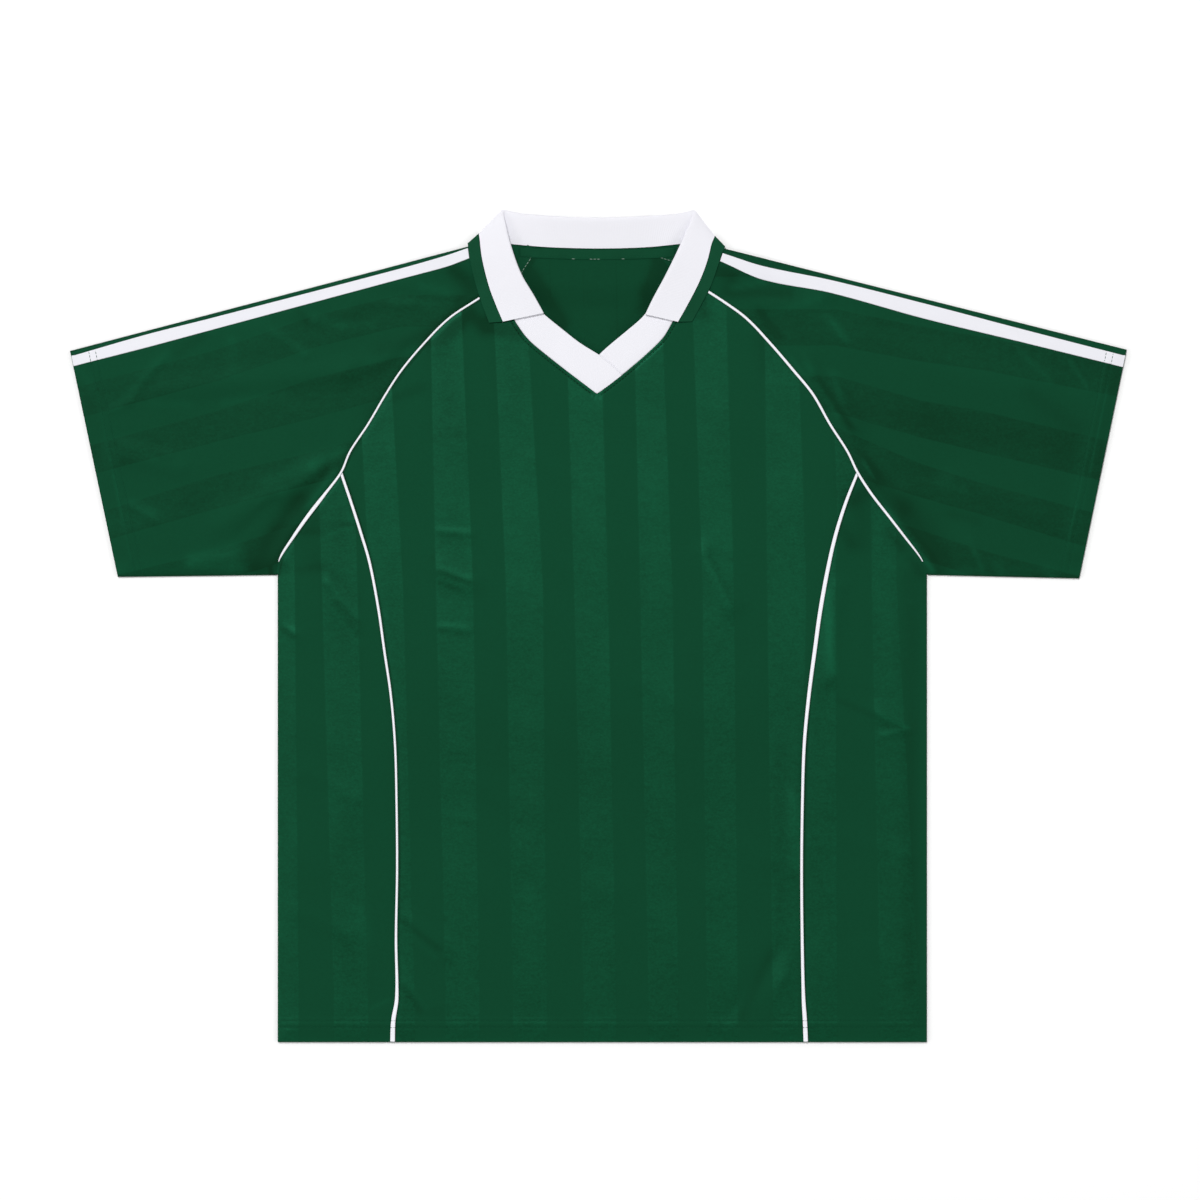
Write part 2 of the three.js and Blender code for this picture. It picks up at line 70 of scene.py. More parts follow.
# Each side's seams: raglan, panel seam, neck and back raglan as (up, across), the sleeve's stripe as
# (across, top, bottom), and the cuff's corners as (across, up)
LEFT = {
    "name": "Left", "node": "left", "hand": -1, "edge": -296.0, "corner": (697.6, -91.8),
    "raglan": [
        (431, -297), (446, -294), (466, -281.5), (486, -267.5), (506, -252), (525.5, -237.5), (545, -229),
        (570, -212.5), (598, -196), (620, -181.5), (645, -160.5), (668, -137.5), (684, -113.5),
        (697.6, -91.8)],
    "panel": [
        (0, -190), (20, -189.2), (41, -186), (96, -186.7), (160, -185.7), (220, -186.2), (274, -187.6),
        (320, -191.5), (362, -197.6), (400, -203), (442, -211), (471, -219.5), (499, -228.5),
        (525.5, -237.5)],
    "neck": [
        (597.8, -1.3), (628, -40.8), (648.6, -65.3), (666.6, -78.1), (682, -86.3), (697.6, -91.8),
        (720, -98.3), (738.8, -102)],
    "back": [
        (431, -297), (480, -257.5), (530, -217.5), (580, -177.5), (630, -137.5), (680, -97), (712, -71.2),
        (733.2, -55.5)],
    "back_neck": [(735.6, -82), (738.8, -102)],
    "cuff_top": (-487.6, 637.8), "cuff_bottom": (-443.5, 429.2), "cuff_lines": (17.0, 23.2),
    "stripe": [
        (-484, 633.4, 623.6), (-416.9, 652.8, 640.7), (-355.8, 668.3, 657.2), (-183.2, 713.5, 703.7),
        (-139.9, 725.8, 715.3), (-119, 733, 723)],
}
RIGHT = {
    "name": "Right", "node": "right", "hand": 1, "edge": 303.0, "corner": (702.4, 84.6),
    "raglan": [
        (431, 304), (446, 297.5), (466, 282.5), (486, 267), (506, 251.5), (525.5, 239), (545, 229.5),
        (570, 213.5), (598, 197.5), (620, 179.5), (645, 158), (668, 136), (684, 114), (702.4, 84.6)],
    "panel": [
        (0, 191.2), (20, 190.3), (41, 189), (96, 187.8), (160, 187.3), (220, 188), (274, 189.7),
        (320, 194), (362, 199.5), (400, 204.8), (442, 212.6), (471, 219.5), (499, 228.5), (525.5, 239)],
    "neck": [
        (597.8, -1.3), (615.7, 22.3), (646.8, 57.1), (664.4, 68.5), (683, 77), (702.4, 84.6),
        (720, 91.8), (736.5, 99)],
    "back": [
        (431, 304), (480, 259), (530, 217.5), (580, 176), (630, 134.5), (680, 93), (712, 67),
        (733.2, 50.5)],
    "back_neck": [(735.2, 78), (736.5, 99)],
    "cuff_top": (487.4, 639.0), "cuff_bottom": (443.5, 427.8), "cuff_lines": (11.8, 18.2),
    "stripe": [
        (115, 727.6, 719), (150.8, 716.1, 703.5), (214.4, 703, 691), (299.2, 681.8, 667.7),
        (392, 657.4, 645.2), (484, 633.6, 622.6)],
}
SIDES = (LEFT, RIGHT)

# The collar's stations round the neck: neck seam, roll, white edge and outer edge as across and up, the
# roll's height, and its turn, 0 with the fall in front, 90 at the shoulder and 180 with the fall behind
COLLAR = [
    (-78.1, 666.6, -50.4, 672.5, -88.1, 664.6, -100.8, 663.6, 5.9, 0),
    (-86.0, 682.0, -59.0, 688.0, -94.8, 680.5, -107.0, 680.0, 6.9, 0),
    (-91.6, 699.0, -71.2, 708.9, -101.3, 698.4, -112.8, 698.0, 7.6, 0),
    (-97.8, 720.0, -80.2, 733.6, -107.2, 722.4, -118.0, 720.0, 7.8, 0),
    (-100.5, 735.0, -85.9, 757.0, -109.4, 740.4, -119.9, 733.2, 5.4, 0),
    (-101.4, 741.2, -86.2, 766.6, -109.9, 746.1, -120.2, 736.7, 2.85, 90),
    (-97.0, 739.3, -82.6, 767.0, -105.4, 744.0, -116.2, 733.9, 3.2, 180),
    (-84.0, 736.8, -70.0, 764.4, -90.0, 739.5, -99.0, 729.5, 4.6, 180),
    (-52.0, 733.9, -48.0, 762.4, -56.0, 735.2, -60.0, 724.5, 6.6, 180),
    (-25.0, 732.7, -23.0, 760.9, -26.0, 733.2, -28.0, 722.4, 7.4, 180),
    (0.6, 732.3, 0.6, 760.5, 0.6, 732.8, 0.6, 721.9, 7.6, 180),
    (26.0, 732.7, 24.0, 760.9, 27.0, 733.2, 29.0, 722.4, 7.4, 180),
    (50.0, 733.9, 47.0, 762.2, 54.0, 735.2, 58.0, 724.5, 6.6, 180),
    (80.0, 737.0, 69.0, 763.8, 87.0, 738.6, 96.0, 728.0, 4.6, 180),
    (94.0, 738.4, 82.2, 766.4, 101.2, 741.6, 112.0, 732.0, 3.2, 180),
    (99.0, 739.4, 86.4, 765.7, 106.8, 743.8, 116.5, 733.8, 2.85, 90),
    (97.6, 733.0, 82.4, 752.0, 104.0, 735.6, 114.0, 728.4, 5.4, 0),
    (91.2, 720.0, 71.8, 728.0, 99.8, 719.2, 110.2, 716.6, 7.8, 0),
    (83.4, 702.0, 60.4, 705.0, 92.3, 700.0, 103.4, 697.6, 7.6, 0),
    (76.2, 682.0, 50.4, 686.6, 82.2, 680.4, 94.8, 680.6, 6.9, 0),
    (68.3, 664.8, 43.0, 671.3, 73.2, 664.4, 86.3, 664.8, 5.9, 0),
]

# The edges of the V's bands from the collar down to the crossing, as (across, up)
BAND_LEFT_INNER = [
    (-55.8, 678.4), (-50.3, 671.7), (-34, 658.2), (-17.5, 645.3), (-0.2, 634.5), (12, 624.6)]
BAND_RIGHT_INNER = [
    (48.5, 679.3), (40, 668.4), (25, 655.4), (8, 641.2), (-5, 629), (-8, 612)]

# Folds and creases of the front, as from (across, up), to (across, up), width and height. A hollow's
# height is below nothing.
FOLDS = [
    (-400, 601, -235, 619, 11, 1.1),
    (-235, 619, -157, 647, 11, 1.2),
    (-351, 476, -266, 526, 12, 1.2),
    (-266, 526, -229, 546, 12, 1.1),
    (-300, 439, -279, 485, 12, -1.1),
    (-279, 485, -239, 534, 12, -1.1),
    (-440, 541, -386, 529, 9, 0.8),
    (192, 626, 235, 570, 9, 1.6),
    (249, 513, 319, 436, 13, -1.2),
    (150, 679, 210, 690, 9, 1.0),
    (386, 644, 418, 612, 9, 0.9),
    (330, 520, 440, 470, 12, 0.8),
    (-252, 425, -220, 386, 9, 0.3),
    (97, 453, 123, 403, 10, 1.1),
    (-146, 438, -117, 423, 10, 0.9),
    (258, 306, 288, 292, 10, 1.0),
    (140, 27, 191, 82, 11, 0.7),
    (-182, 116, -144, 86, 11, 1.0),
    (-293, 382, -277, 374, 8, 0.5),
]
CREASES = [
    (-340, 645, -338, 616, 4, 0.5),
    (-301, 656, -270, 633, 4, 0.6),
    (-284, 672, -261, 665, 4, 0.5),
    (-421, 612, -397, 637, 4, 0.5),
    (-448, 583, -432, 590, 4, 0.5),
    (-432, 590, -402, 630, 4, 0.3),
    (-444, 554, -396, 541, 4, 0.5),
    (-432, 496, -408, 480, 4, 0.5),
    (-199, 702, -129, 689, 5, 0.5),
    (-224, 683, -171, 681, 5, 0.5),
    (-259, 668, -224, 676, 5, 0.3),
    (-140, 716, -112, 700, 9, -1.2),
    (-136, 713, -114, 707, 4, 0.5),
    (-372, 444, -341, 445, 5, 0.5),
    (-338, 456, -336, 436, 4, 0.5),
    (-290, 540, -345, 452, 20, 0.6),
    (-312, 497, -272, 518, 4, 0.4),
    (-272, 518, -232, 542, 4, 0.4),
    (-330, 470, -300, 500, 6, -0.4),
    (215, 616, 224, 601, 4, 0.8),
    (245, 535, 255, 524, 4, 0.7),
    (246, 548, 274, 520, 9, -0.8),
    (300, 520, 322, 480, 17, -0.8),
    (322, 480, 338, 440, 17, -0.8),
    (213, 668, 227, 648, 4, 0.6),
    (149, 676, 170, 640, 6, -0.7),
    (125, 700, 190, 692, 8, -0.8),
    (433, 631, 453, 599, 4, 0.5),
    (344, 460, 355, 439, 5, 0.6),
    (274, 482, 316, 433, 5, 0.9),
    (236, 540, 262, 500, 4, 0.5),
    (140, 702, 190, 668, 6, 0.4),
    (-250, 424, -222, 392, 3.5, 0.5),
    (-243, 408, -222, 380, 3.5, 0.4),
    (-294, 386, -279, 376, 3, 0.5),
    (-147, 472, -118, 469, 3.4, 0.5),
    (-146, 435, -118, 426, 3.2, 0.5),
    (-146, 427, -120, 417, 3, 0.4),
    (-146, 383, -120, 381, 3.2, 0.4),
    (98, 450, 120, 402, 3.5, 0.5),
    (105, 448, 124, 412, 3, -0.3),
    (222, 420, 213, 335, 7, 0.7),
    (182, 225, 181, 160, 8, 0.8),
    (259, 303, 286, 291, 3, 0.5),
    (262, 283, 287, 289, 3, 0.5),
    (288, 405, 301, 401, 3, 0.4),
    (286, 372, 300, 366, 3, 0.3),
    (155, 24, 172, 60, 5, 0.4),
    (120, 24, 165, 84, 9, -0.6),
    (-180, 118, -150, 92, 5, 0.4),
    (-178, 55, -151, 32, 6, 0.5),
    (-60, 540, -30, 520, 8, 0.3),
    (40, 330, 90, 300, 12, 0.4),
    (-110, 240, -60, 215, 14, 0.4),
    (-20, 130, 50, 150, 14, 0.3),
    (100, 200, 150, 170, 12, 0.4),
    (-270, 250, -225, 225, 9, 0.4),
    (230, 190, 290, 170, 9, 0.4),
    (-280, 120, -230, 100, 9, 0.4),
    (250, 90, 285, 60, 8, 0.4),
]
# Painted shade and painted highlights on the knit's face: brighter where it bends towards the light, darker
# where it bends away, beside seams and under the collar; as from, to, width and how much
PAINTED_SHADE_AND_HIGHLIGHT = [
    (-152, 648, -128, 668, 8, -0.5),
    (-141, 655, -138, 570, 14, -0.16),
    (-98, 665, -76, 655, 7.5, -0.44),
    (-84, 655, -79, 590, 14, -0.13),
    (-241, 500, -238, 400, 17, -0.12),
    (-276, 500, -262, 440, 12, -0.08),
    (-205, 580, -200, 540, 13, -0.13),
    (-191, 446, -190, 415, 9, -0.1),
    (152, 650, 155, 626, 10, -0.12),
    (243, 493, 243, 462, 11, -0.12),
    (225, 547, 226, 510, 7, -0.12),
    (-448, 478, -418, 488, 12, 0.13),
    (-376, 441, -330, 438, 6, 0.2),
    (-455, 548, -453, 536, 8, 0.12),
    (110, 520, 112, 400, 12, 0.08),
    (52, 520, 55, 390, 12, 0.08),
    (-8, 520, -4, 400, 12, 0.07),
    (176, 520, 178, 380, 13, 0.07),
    (-70, 500, -66, 440, 12, 0.05),
    (-66, 160, -64, 60, 12, 0.05),
    (167, 270, 169, 90, 6, -0.08),
    (-264, 480, -240, 482, 8, -0.1),
    (-150, 446, -121, 437, 6, -0.12),
    (326, 487, 348, 482, 5, -0.1),
    (266, 440, 266, 335, 7, 0.09),
    (286, 275, 286, 40, 7, -0.07),
    (-290, 4, 298, 4, 6, 0.08),
    (-250, 529, -272, 502, 5, -0.1),
    (-276, 500, -295, 470, 9, -0.27),
    (-296, 468, -311, 440, 10, -0.26),
    (-440, 436, -335, 438, 8, 0.16),
    (330, 436, 440, 434, 8, 0.12),
    (-306, 517, -264, 532, 7, 0.2),
    (-264, 532, -238, 546, 5, 0.28),
    (-292, 508, -262, 521, 5, 0.18),
    (-330, 500, -296, 511, 2, 0.14),
    (-303, 446, -302, 432, 2.4, -0.3),
    (-462, 599, -447, 523, 1.3, 0.08),
    (-447, 523, -439, 485, 1.3, 0.2),
    (-439, 485, -431, 446, 1.3, 0.08),
    (-425, 624, -290, 660, 12, 0.06),
    (469, 605, 453, 527, 1.3, 0.16),
    (440, 495, 433, 464, 1.3, 0.14),
    (200, 666, 460, 602, 15, 0.09),
    (-243, 526, -268, 494, 3.5, 0.25),
    (-135, 714, -112, 690, 8, -0.34),
    (-124, 680, -105, 659, 8, -0.4),
    (-100, 661, -91, 655, 4, -0.24),
    (-140, 652, -127, 658, 5, -0.2),
    (-132, 480, -134, 420, 12, -0.08),
    (-201, 640, -160, 652, 8, -0.12),
    (-212, 628, -172, 639, 4, 0.1),
    (-163, 697, -140, 691.5, 4, 0.15),
    (-192, 684, -152, 680, 3, 0.14),
    (-262, 667, -236, 661, 4, 0.16),
    (-236, 661, -207, 662.5, 4, 0.12),
    (-276.5, 674, -268, 665, 3, -0.14),
    (-337.5, 648, -336, 616, 4, 0.14),
    (-300, 654, -271, 636.5, 4, 0.14),
    (-398, 633.5, -445, 587, 4, 0.14),
    (-366, 651, -387, 636, 6, -0.12),
    (-477, 619, -468, 604, 4, 0.1),
    (-410, 589, -378, 588, 4, 0.1),
    (-345, 590, -290, 596, 4, 0.12),
    (-442, 552, -410, 540.5, 3, 0.14),
    (-430, 497, -410, 488, 4, 0.14),
    (-375, 445, -334, 453.5, 6, 0.26),
    (-334, 456, -339, 433, 4, 0.1),
    (-360, 657, -308, 666, 5, 0.1),
    (243, 541, 257, 520, 6, -0.26),
    (257, 520, 282, 492, 9, -0.16),
    (282, 492, 312, 445, 14, -0.22),
    (265, 491, 308, 436, 3, 0.5),
    (244.5, 535, 254.5, 520, 2.5, 0.4),
    (192, 625, 221, 578, 3.5, 0.24),
    (201, 613, 233, 567, 4, -0.28),
    (178, 630.5, 198, 604, 3, 0.16),
    (218, 616, 224, 593, 4, 0.2),
    (149, 674, 166, 651, 3, -0.28),
    (120, 691.5, 175, 691.5, 6, -0.26),
    (123, 694.5, 152, 701.5, 3, 0.2),
    (111, 712, 123, 706, 6, -0.22),
    (90, 688, 98, 672, 7, -0.32),
    (157.5, 671, 204, 686, 4, 0.17),
    (215.5, 665, 228.5, 648, 4, 0.3),
    (387, 639, 416, 610, 3, 0.14),
    (434.5, 629, 450.5, 604.5, 2.5, 0.18),
    (398, 599, 442, 564, 10, -0.1),
    (450, 550, 441, 462, 11, 0.12),
    (239, 584, 436, 546, 13, -0.08),
    (314, 517, 337, 509, 5, 0.14),
    (346, 453.5, 355, 433, 3, 0.17),
    (366.5, 442, 372, 433, 4, 0.14),
    (413, 436, 418.5, 430, 5, 0.14),
    (-192, 593, -163, 604, 5, -0.12),
    (-149, 558, -123, 561, 3, -0.1),
    (-148.5, 473, -117, 468.5, 2, 0.07),
    (-148.5, 461, -117, 459.5, 2, -0.1),
    (-147, 441, -118, 428, 2, 0.06),
    (-147, 435.5, -118, 422.5, 2, -0.12),
    (-146, 430, -118, 417, 2, 0.12),
    (-146, 387, -119.5, 381, 2, 0.08),
    (-146, 380, -119.5, 375, 2, -0.1),
    (-142, 212, -113, 208, 2.2, 0.1),
    (-142, 205, -113, 200.5, 2.2, -0.12),
    (-253, 484, -224, 482.5, 2, 0.18),
    (-236, 478, -224, 476, 2.5, -0.16),
    (-250, 468, -226, 475, 2, 0.2),
    (-273.5, 471, -256, 471, 4, -0.16),
    (-276.5, 436, -256, 439, 4, -0.1),
    (-250, 421.5, -219, 391, 2, 0.1),
    (-252, 437, -226, 408, 6, -0.12),
    (-247, 412, -222, 386, 2, -0.1),
    (-245, 400, -222.5, 370, 2, 0.14),
    (-292, 385, -281, 378.5, 1.8, 0.06),
    (-292, 381, -281, 374.5, 1.8, -0.16),
    (-220.5, 122, -216, 95, 7, 0.12),
    (-245, 230, -243, 198, 6, 0.08),
    (-233, 380, -233, 160, 13, -0.06),
    (-61, 140, -61, 117, 12, 0.1),
    (-150, 265, 170, 265, 60, -0.05),
    (96, 447, 121, 400, 1.8, 0.16),
    (103, 447, 124, 407, 1.8, -0.1),
    (210, 414, 215, 342, 4.5, 0.4),
    (181, 225, 183.5, 162, 4.5, 0.3),
    (260, 301.5, 284.5, 290, 1.8, 0.24),
    (284.5, 290, 262, 283.5, 1.8, 0.2),
    (262, 293, 280, 289.5, 2.5, -0.14),
    (221.5, 315, 253, 301.5, 3, -0.1),
    (286, 430, 286, 55, 7, -0.09),
    (300, 400, 300, 55, 3, 0.07),
    (233, 500, 247.5, 508.5, 8, -0.26),
    (224, 474, 233, 459.5, 7, -0.16),
    (268, 471, 279.5, 456.5, 5, -0.2),
    (257, 480, 257, 400, 4, 0.1),
    (288, 445, 297, 430.5, 4, -0.12),
    (159, 81.5, 132, 23, 5, -0.14),
    (-182, 113, -146, 86, 2.4, -0.14),
    (-181, 107, -150, 78, 2.4, 0.1),
    (-180, 50, -164, 28, 2.6, -0.14),
    (-177, 54, -158, 32, 2.6, 0.1),
    (-209, 32, -193.5, 39, 2.4, 0.12),
]
# Painted shadow of the collar on the inside of the back, seen through the neck, as from, to, width and how
# much
BACK_PAINTED_SHADE = [
    (-76, 731, -33, 662, 6, -0.24),
    (68, 731, 42, 692, 6, -0.22),
    (-60, 702, -36, 668, 9, -0.16),
    (56, 716, 44, 678, 8, -0.2),
    (44, 678, 20, 655, 9, -0.1),
    (-57, 728, -72, 707, 2.6, -0.3),
    (50, 722, 70, 716, 2.4, -0.2),
]
# Creases of the back, which lift the cloth a little off what it lies on
BACK_CREASES = [
    (-150, 520, -90, 480, 9, 0.6),
    (120, 540, 80, 470, 9, 0.6),
    (-230, 400, -170, 360, 10, 0.5),
    (210, 410, 250, 350, 10, 0.5),
    (-60, 260, 10, 230, 12, 0.5),
    (90, 140, 160, 190, 11, 0.6),
    (-380, 560, -280, 590, 10, 0.6),
    (-360, 480, -300, 520, 10, 0.5),
    (300, 600, 390, 560, 10, 0.6),
    (290, 500, 350, 470, 10, 0.5),
]


def picture_to_cloth(across, down):
    """The place on the laid garment, in metres, of a point of the 1200 pixel photograph."""
    centre, hem = 598.5, 1042.0
    return (across - centre) * PIXEL * MM, ((hem - down) * PIXEL - 0.5 * LENGTH) * MM


# Camera
CAMERA_HEIGHT = 4.2
PICTURE_WIDTH = 1200 * PIXEL * MM
SENSOR = 36.0


def make_camera():
    data = bpy.data.cameras.new("Camera")
    camera = bpy.data.objects.new("Camera", data)
    bpy.context.scene.collection.objects.link(camera)
    camera.location = (*picture_to_cloth(600, 600), CAMERA_HEIGHT)
    data.sensor_width = SENSOR
    data.lens = SENSOR * CAMERA_HEIGHT / PICTURE_WIDTH
    data.clip_end = 20
    bpy.context.scene.camera = camera


make_camera()


# Curves and heights of the cloth
def ease(part):
    """From 0 to 1 with a soft start and a soft end."""
    held = np.clip(part, 0, 1)
    return held * held * (3 - 2 * held)


def mix(start, end, part):
    return start + (end - start) * part


def through(rows, place, column=1):
    """A smooth line through a table's rows: one column read at a place along the first."""
    rows = np.asarray(rows, float)
    knots, values = rows[:, 0], rows[:, column]
    slopes = np.empty_like(values)
    slopes[1:-1] = (values[2:] - values[:-2]) / (knots[2:] - knots[:-2])
    slopes[0] = (values[1] - values[0]) / (knots[1] - knots[0])
    slopes[-1] = (values[-1] - values[-2]) / (knots[-1] - knots[-2])
    place = np.asarray(place, float)
    row = np.clip(np.searchsorted(knots, place) - 1, 0, len(knots) - 2)
    span = knots[row + 1] - knots[row]
    t = (place - knots[row]) / span
    hold = 2 * t**3 - 3 * t**2 + 1
    bend = slopes[row] * (t**3 - 2 * t**2 + t) + slopes[row + 1] * (t**3 - t**2)
    return hold * values[row] + (1 - hold) * values[row + 1] + span * bend


def distance_to(x, y, line):
    """The distance of places from the nearest point of a line of corners."""
    nearest = np.full(np.shape(x), np.inf)
    for (from_x, from_y), (to_x, to_y) in zip(line[:-1], line[1:]):
        run_x, run_y = to_x - from_x, to_y - from_y
        along = ((x - from_x) * run_x + (y - from_y) * run_y) / (run_x**2 + run_y**2)
        along = np.clip(along, 0, 1)
        nearest = np.minimum(nearest, np.hypot(x - from_x - along * run_x, y - from_y - along * run_y))
    return nearest


def run_along(points):
    """The length of a line from its first point to each of its points."""
    return np.concatenate([[0], np.cumsum(np.linalg.norm(np.diff(points, axis=0), axis=1))])


def swapped(rows):
    """A seam's rows of (up, across) as corners of (across, up)."""
    return [(row[1], row[0]) for row in rows]


OUTLINE = [
    [swapped(side["neck"])[-1], side["cuff_top"], side["cuff_bottom"], (side["edge"], UNDERARM),
     (side["edge"], 0), (0, 0)]
    for side in SIDES
]
SEAMS = [swapped(side[seam]) for side in SIDES for seam in ("raglan", "panel", "neck")]
NECK_SEAMS = [swapped(side["neck"]) for side in SIDES]


def lift(x, y):
    """The cloth is raised round the neck, over the part of the collar that lies behind."""
    reach = np.hypot(x / 140, (y - 745) / 45)
    return NECK_LIFT * (1 - ease((reach - 1) / 0.6))


def folded(x, y, folds):
    """The sum of soft ridges along lines, each as wide and as high as its row says."""
    total = np.zeros(np.shape(x))
    for from_x, from_y, to_x, to_y, width, height in folds:
        off = distance_to(x, y, [(from_x, from_y), (to_x, to_y)])
        total += height * np.exp(-((off / width) ** 2))
    return total


def middle_height(x, y):
    """The height at which the front and the back layer meet."""
    return lift(x, y) + WALL + 0.5 * GAP


def ripple(x, y):
    """The small waves that lie all over a knit cloth that nobody has pressed."""
    slow = np.sin(0.031 * x + 1.3 * np.sin(0.017 * y)) * np.sin(0.027 * y + 1.1 * np.sin(0.013 * x + 1))
    quick = np.sin(0.083 * x + 0.051 * y + np.sin(0.043 * y)) * np.sin(0.061 * y - 0.02 * x)
    return 0.28 * slow + 0.12 * quick


def gathers(x, y):
    """Small gathers that the stitches of the sleeves' white stripes leave beside them."""
    total = np.zeros(np.shape(x))
    for side in SIDES:
        rows = sorted(side["stripe"])
        below = through(rows, np.clip(x, rows[0][0], rows[-1][0]), 2) - y
        near = ease(below / 4) * np.exp(-((below / 26) ** 2)) * ease((side["hand"] * x - 125) / 25)
        total += near * np.sin(0.62 * x + 0.5 * np.sin(0.11 * x)) * (0.09 + 0.05 * np.sin(0.037 * x))
    return total


def front_top(x, y):
    """The height of the front's outer face, with its folds, creases, ripples and seams."""
    to_outline = np.minimum(*[distance_to(x, y, line) for line in OUTLINE])
    to_seam = np.minimum.reduce([distance_to(x, y, line) for line in SEAMS] + [to_outline])
    calm = ease((to_seam - SEAM_CALM) / SEAM_FADE)
    creased = ease((to_seam - 1) / 8) * folded(x, y, CREASES)
    waves = ease(to_seam / 25) * ripple(x, y) + gathers(x, y)
    base = lift(x, y) + 2 * WALL + GAP + AIR * ease(to_outline / AIR_EDGE)
    return base + calm * folded(x, y, FOLDS) + creased + waves - seam_ditch(to_seam, to_outline)


def seam_ditch(to_seam, to_outline):
    """The cloth dips to the stitches where two panels meet."""
    inside = ease(to_outline / 4)
    return 0.55 * inside * np.exp(-((to_seam / 2.6) ** 2))


def neck_welt(x, y):
    """The seam's allowance lies under the cloth beside the V, held down by a line of stitches."""
    away = np.minimum(*[distance_to(x, y, line) for line in NECK_SEAMS])
    return 0.25 * ease((4.4 - away) / 1.6) - 0.55 * np.exp(-(((away - WELT) / 0.8) ** 2))


def back_under(x, y):
    """The height of the back's outer face, which lies on the floor."""
    return lift(x, y) + folded(x, y, BACK_CREASES) * ease((y - 6) / 12)


def rounded(inset, height, x, y):
    """A layer's height with its outer edge rounded down, or up, to the seam in the middle."""
    middle = middle_height(x, y)
    part = np.clip(inset / EDGE_ROUND, 0, 1)
    return middle + (height - middle) * np.sqrt(1 - (1 - part) ** 2)


# Meshes from grids of points
def welded(grids):
    """Points and faces of grids that share edges, with double points and flat faces left out."""
    points, faces, count = [], [], 0
    for grid in grids:
        rows, columns = grid.shape[:2]
        number = count + np.arange(rows * columns).reshape(rows, columns)
        quads = np.stack([number[:-1, :-1], number[:-1, 1:], number[1:, 1:], number[1:, :-1]], -1)
        faces.append(quads.reshape(-1, 4))
        points.append(grid.reshape(rows * columns, -1))
        count += rows * columns
    points, faces = np.concatenate(points), np.concatenate(faces)
    _, first, back = np.unique(np.round(points[:, :3], 4), axis=0, return_index=True, return_inverse=True)
    order = np.argsort(first)
    renumbered = np.empty_like(order)
    renumbered[order] = np.arange(len(order))
    faces = renumbered[back.reshape(-1)][faces]
    kept = []
    for face in faces.tolist():
        corners = [corner for place, corner in enumerate(face) if corner != face[place - 1]]
        if len(corners) > 2:
            kept.append(corners)
    return points[first[order]], kept


def only(thing):
    bpy.ops.object.select_all(action="DESELECT")
    thing.select_set(True)
    bpy.context.view_layer.objects.active = thing


def finish_mesh(thing, modifier, settings):
    only(thing)
    made = thing.modifiers.new(modifier.title(), modifier)
    for name, value in settings.items():
        setattr(made, name, value)
    bpy.ops.object.modifier_apply(modifier=made.name)


def mesh_piece(name, points, faces, look, values=None):
    """A piece from points in millimetres. Its values become attributes that its cloth reads."""
    mesh = bpy.data.meshes.new(name)
    placed = points[:, :3] - np.array([0, 0.5 * LENGTH, 0])
    mesh.from_pydata((placed * MM).tolist(), [], faces)
    for label, column in (values or {}).items():
        attribute = mesh.attributes.new(label, "FLOAT", "POINT")
        attribute.data.foreach_set("value", np.ascontiguousarray(points[:, column], np.float32))
    mesh.materials.append(look)
    piece = bpy.data.objects.new(name, mesh)
    bpy.context.scene.collection.objects.link(piece)
    return piece


def face_up(piece, above):
    """Turns a sheet so that its faces above a height point up."""
    mesh = piece.data
    area = sum(face.normal.z * face.area for face in mesh.polygons if face.center.z > above * MM)
    if area < 0:
        mesh.flip_normals()


def cloth(name, nodes, grids, look, values=None, thickness=CLOTH, down=False,
          above=-1, offset=-1, inside=None):
    """A shell of cloth in place of its CAD nodes, from grids of its outer face, or at offset 0 its middle."""
    points, faces = welded(grids)
    piece = mesh_piece(name, points, faces, look, values)
    face_up(piece, above)
    if down:
        piece.data.flip_normals()
    settings = {"thickness": thickness * MM, "offset": offset, "use_even_offset": False}
    if inside:
        piece.data.materials.append(inside)
        settings["material_offset"] = 1
    finish_mesh(piece, "SOLIDIFY", settings)
    only(piece)
    bpy.ops.object.shade_smooth_by_angle(angle=math.radians(50))
    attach(piece, "root")
    if nodes:
        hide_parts(*nodes)


# Stripes woven into the cloth: each light stripe's two edges, at stations along the stripes. The body's
# are places across at heights up, and the sleeves' are heights down at distances from the middle.
BODY_STRIPES = {
    "stations": (40.0, 420.0, 626.0),
    "edges": [
        ((-186.9, -169.8), (-211.0, -180.0), (-222.0, -192.0)),
        ((-141.0, -109.7), (-150.0, -115.2), (-154.0, -124.1)),
        ((-78.9, -47.5), (-85.4, -50.9), (-94.6, -63.2)),
        ((-13.8, 16.6), (-22.6, 9.1), (-28.6, 3.2)),
        ((46.3, 73.8), (38.3, 68.5), (33.7, 60.5)),
        ((99.7, 128.8), (96.0, 125.1), (88.6, 119.5)),
        ((160.7, 184.1), (155.5, 192.1), (153.7, 185.1)),
    ],
}
LEFT_STRIPES = {
    "stations": (40.0, 420.0, 626.0),
    "edges": [
        ((-296.5, -276.5), (-297.5, -280.1), (-300.0, -283.0)),
        ((-244.1, -212.2), (-255.2, -222.0), (-262.0, -228.0)),
    ],
}
RIGHT_STRIPES = {
    "stations": (40.0, 420.0, 626.0),
    "edges": [
        ((190.5, 220.1), (196.0, 218.7), (200.0, 224.0)),
        ((259.5, 296.4), (252.2, 275.2), (250.0, 272.0)),
    ],
}
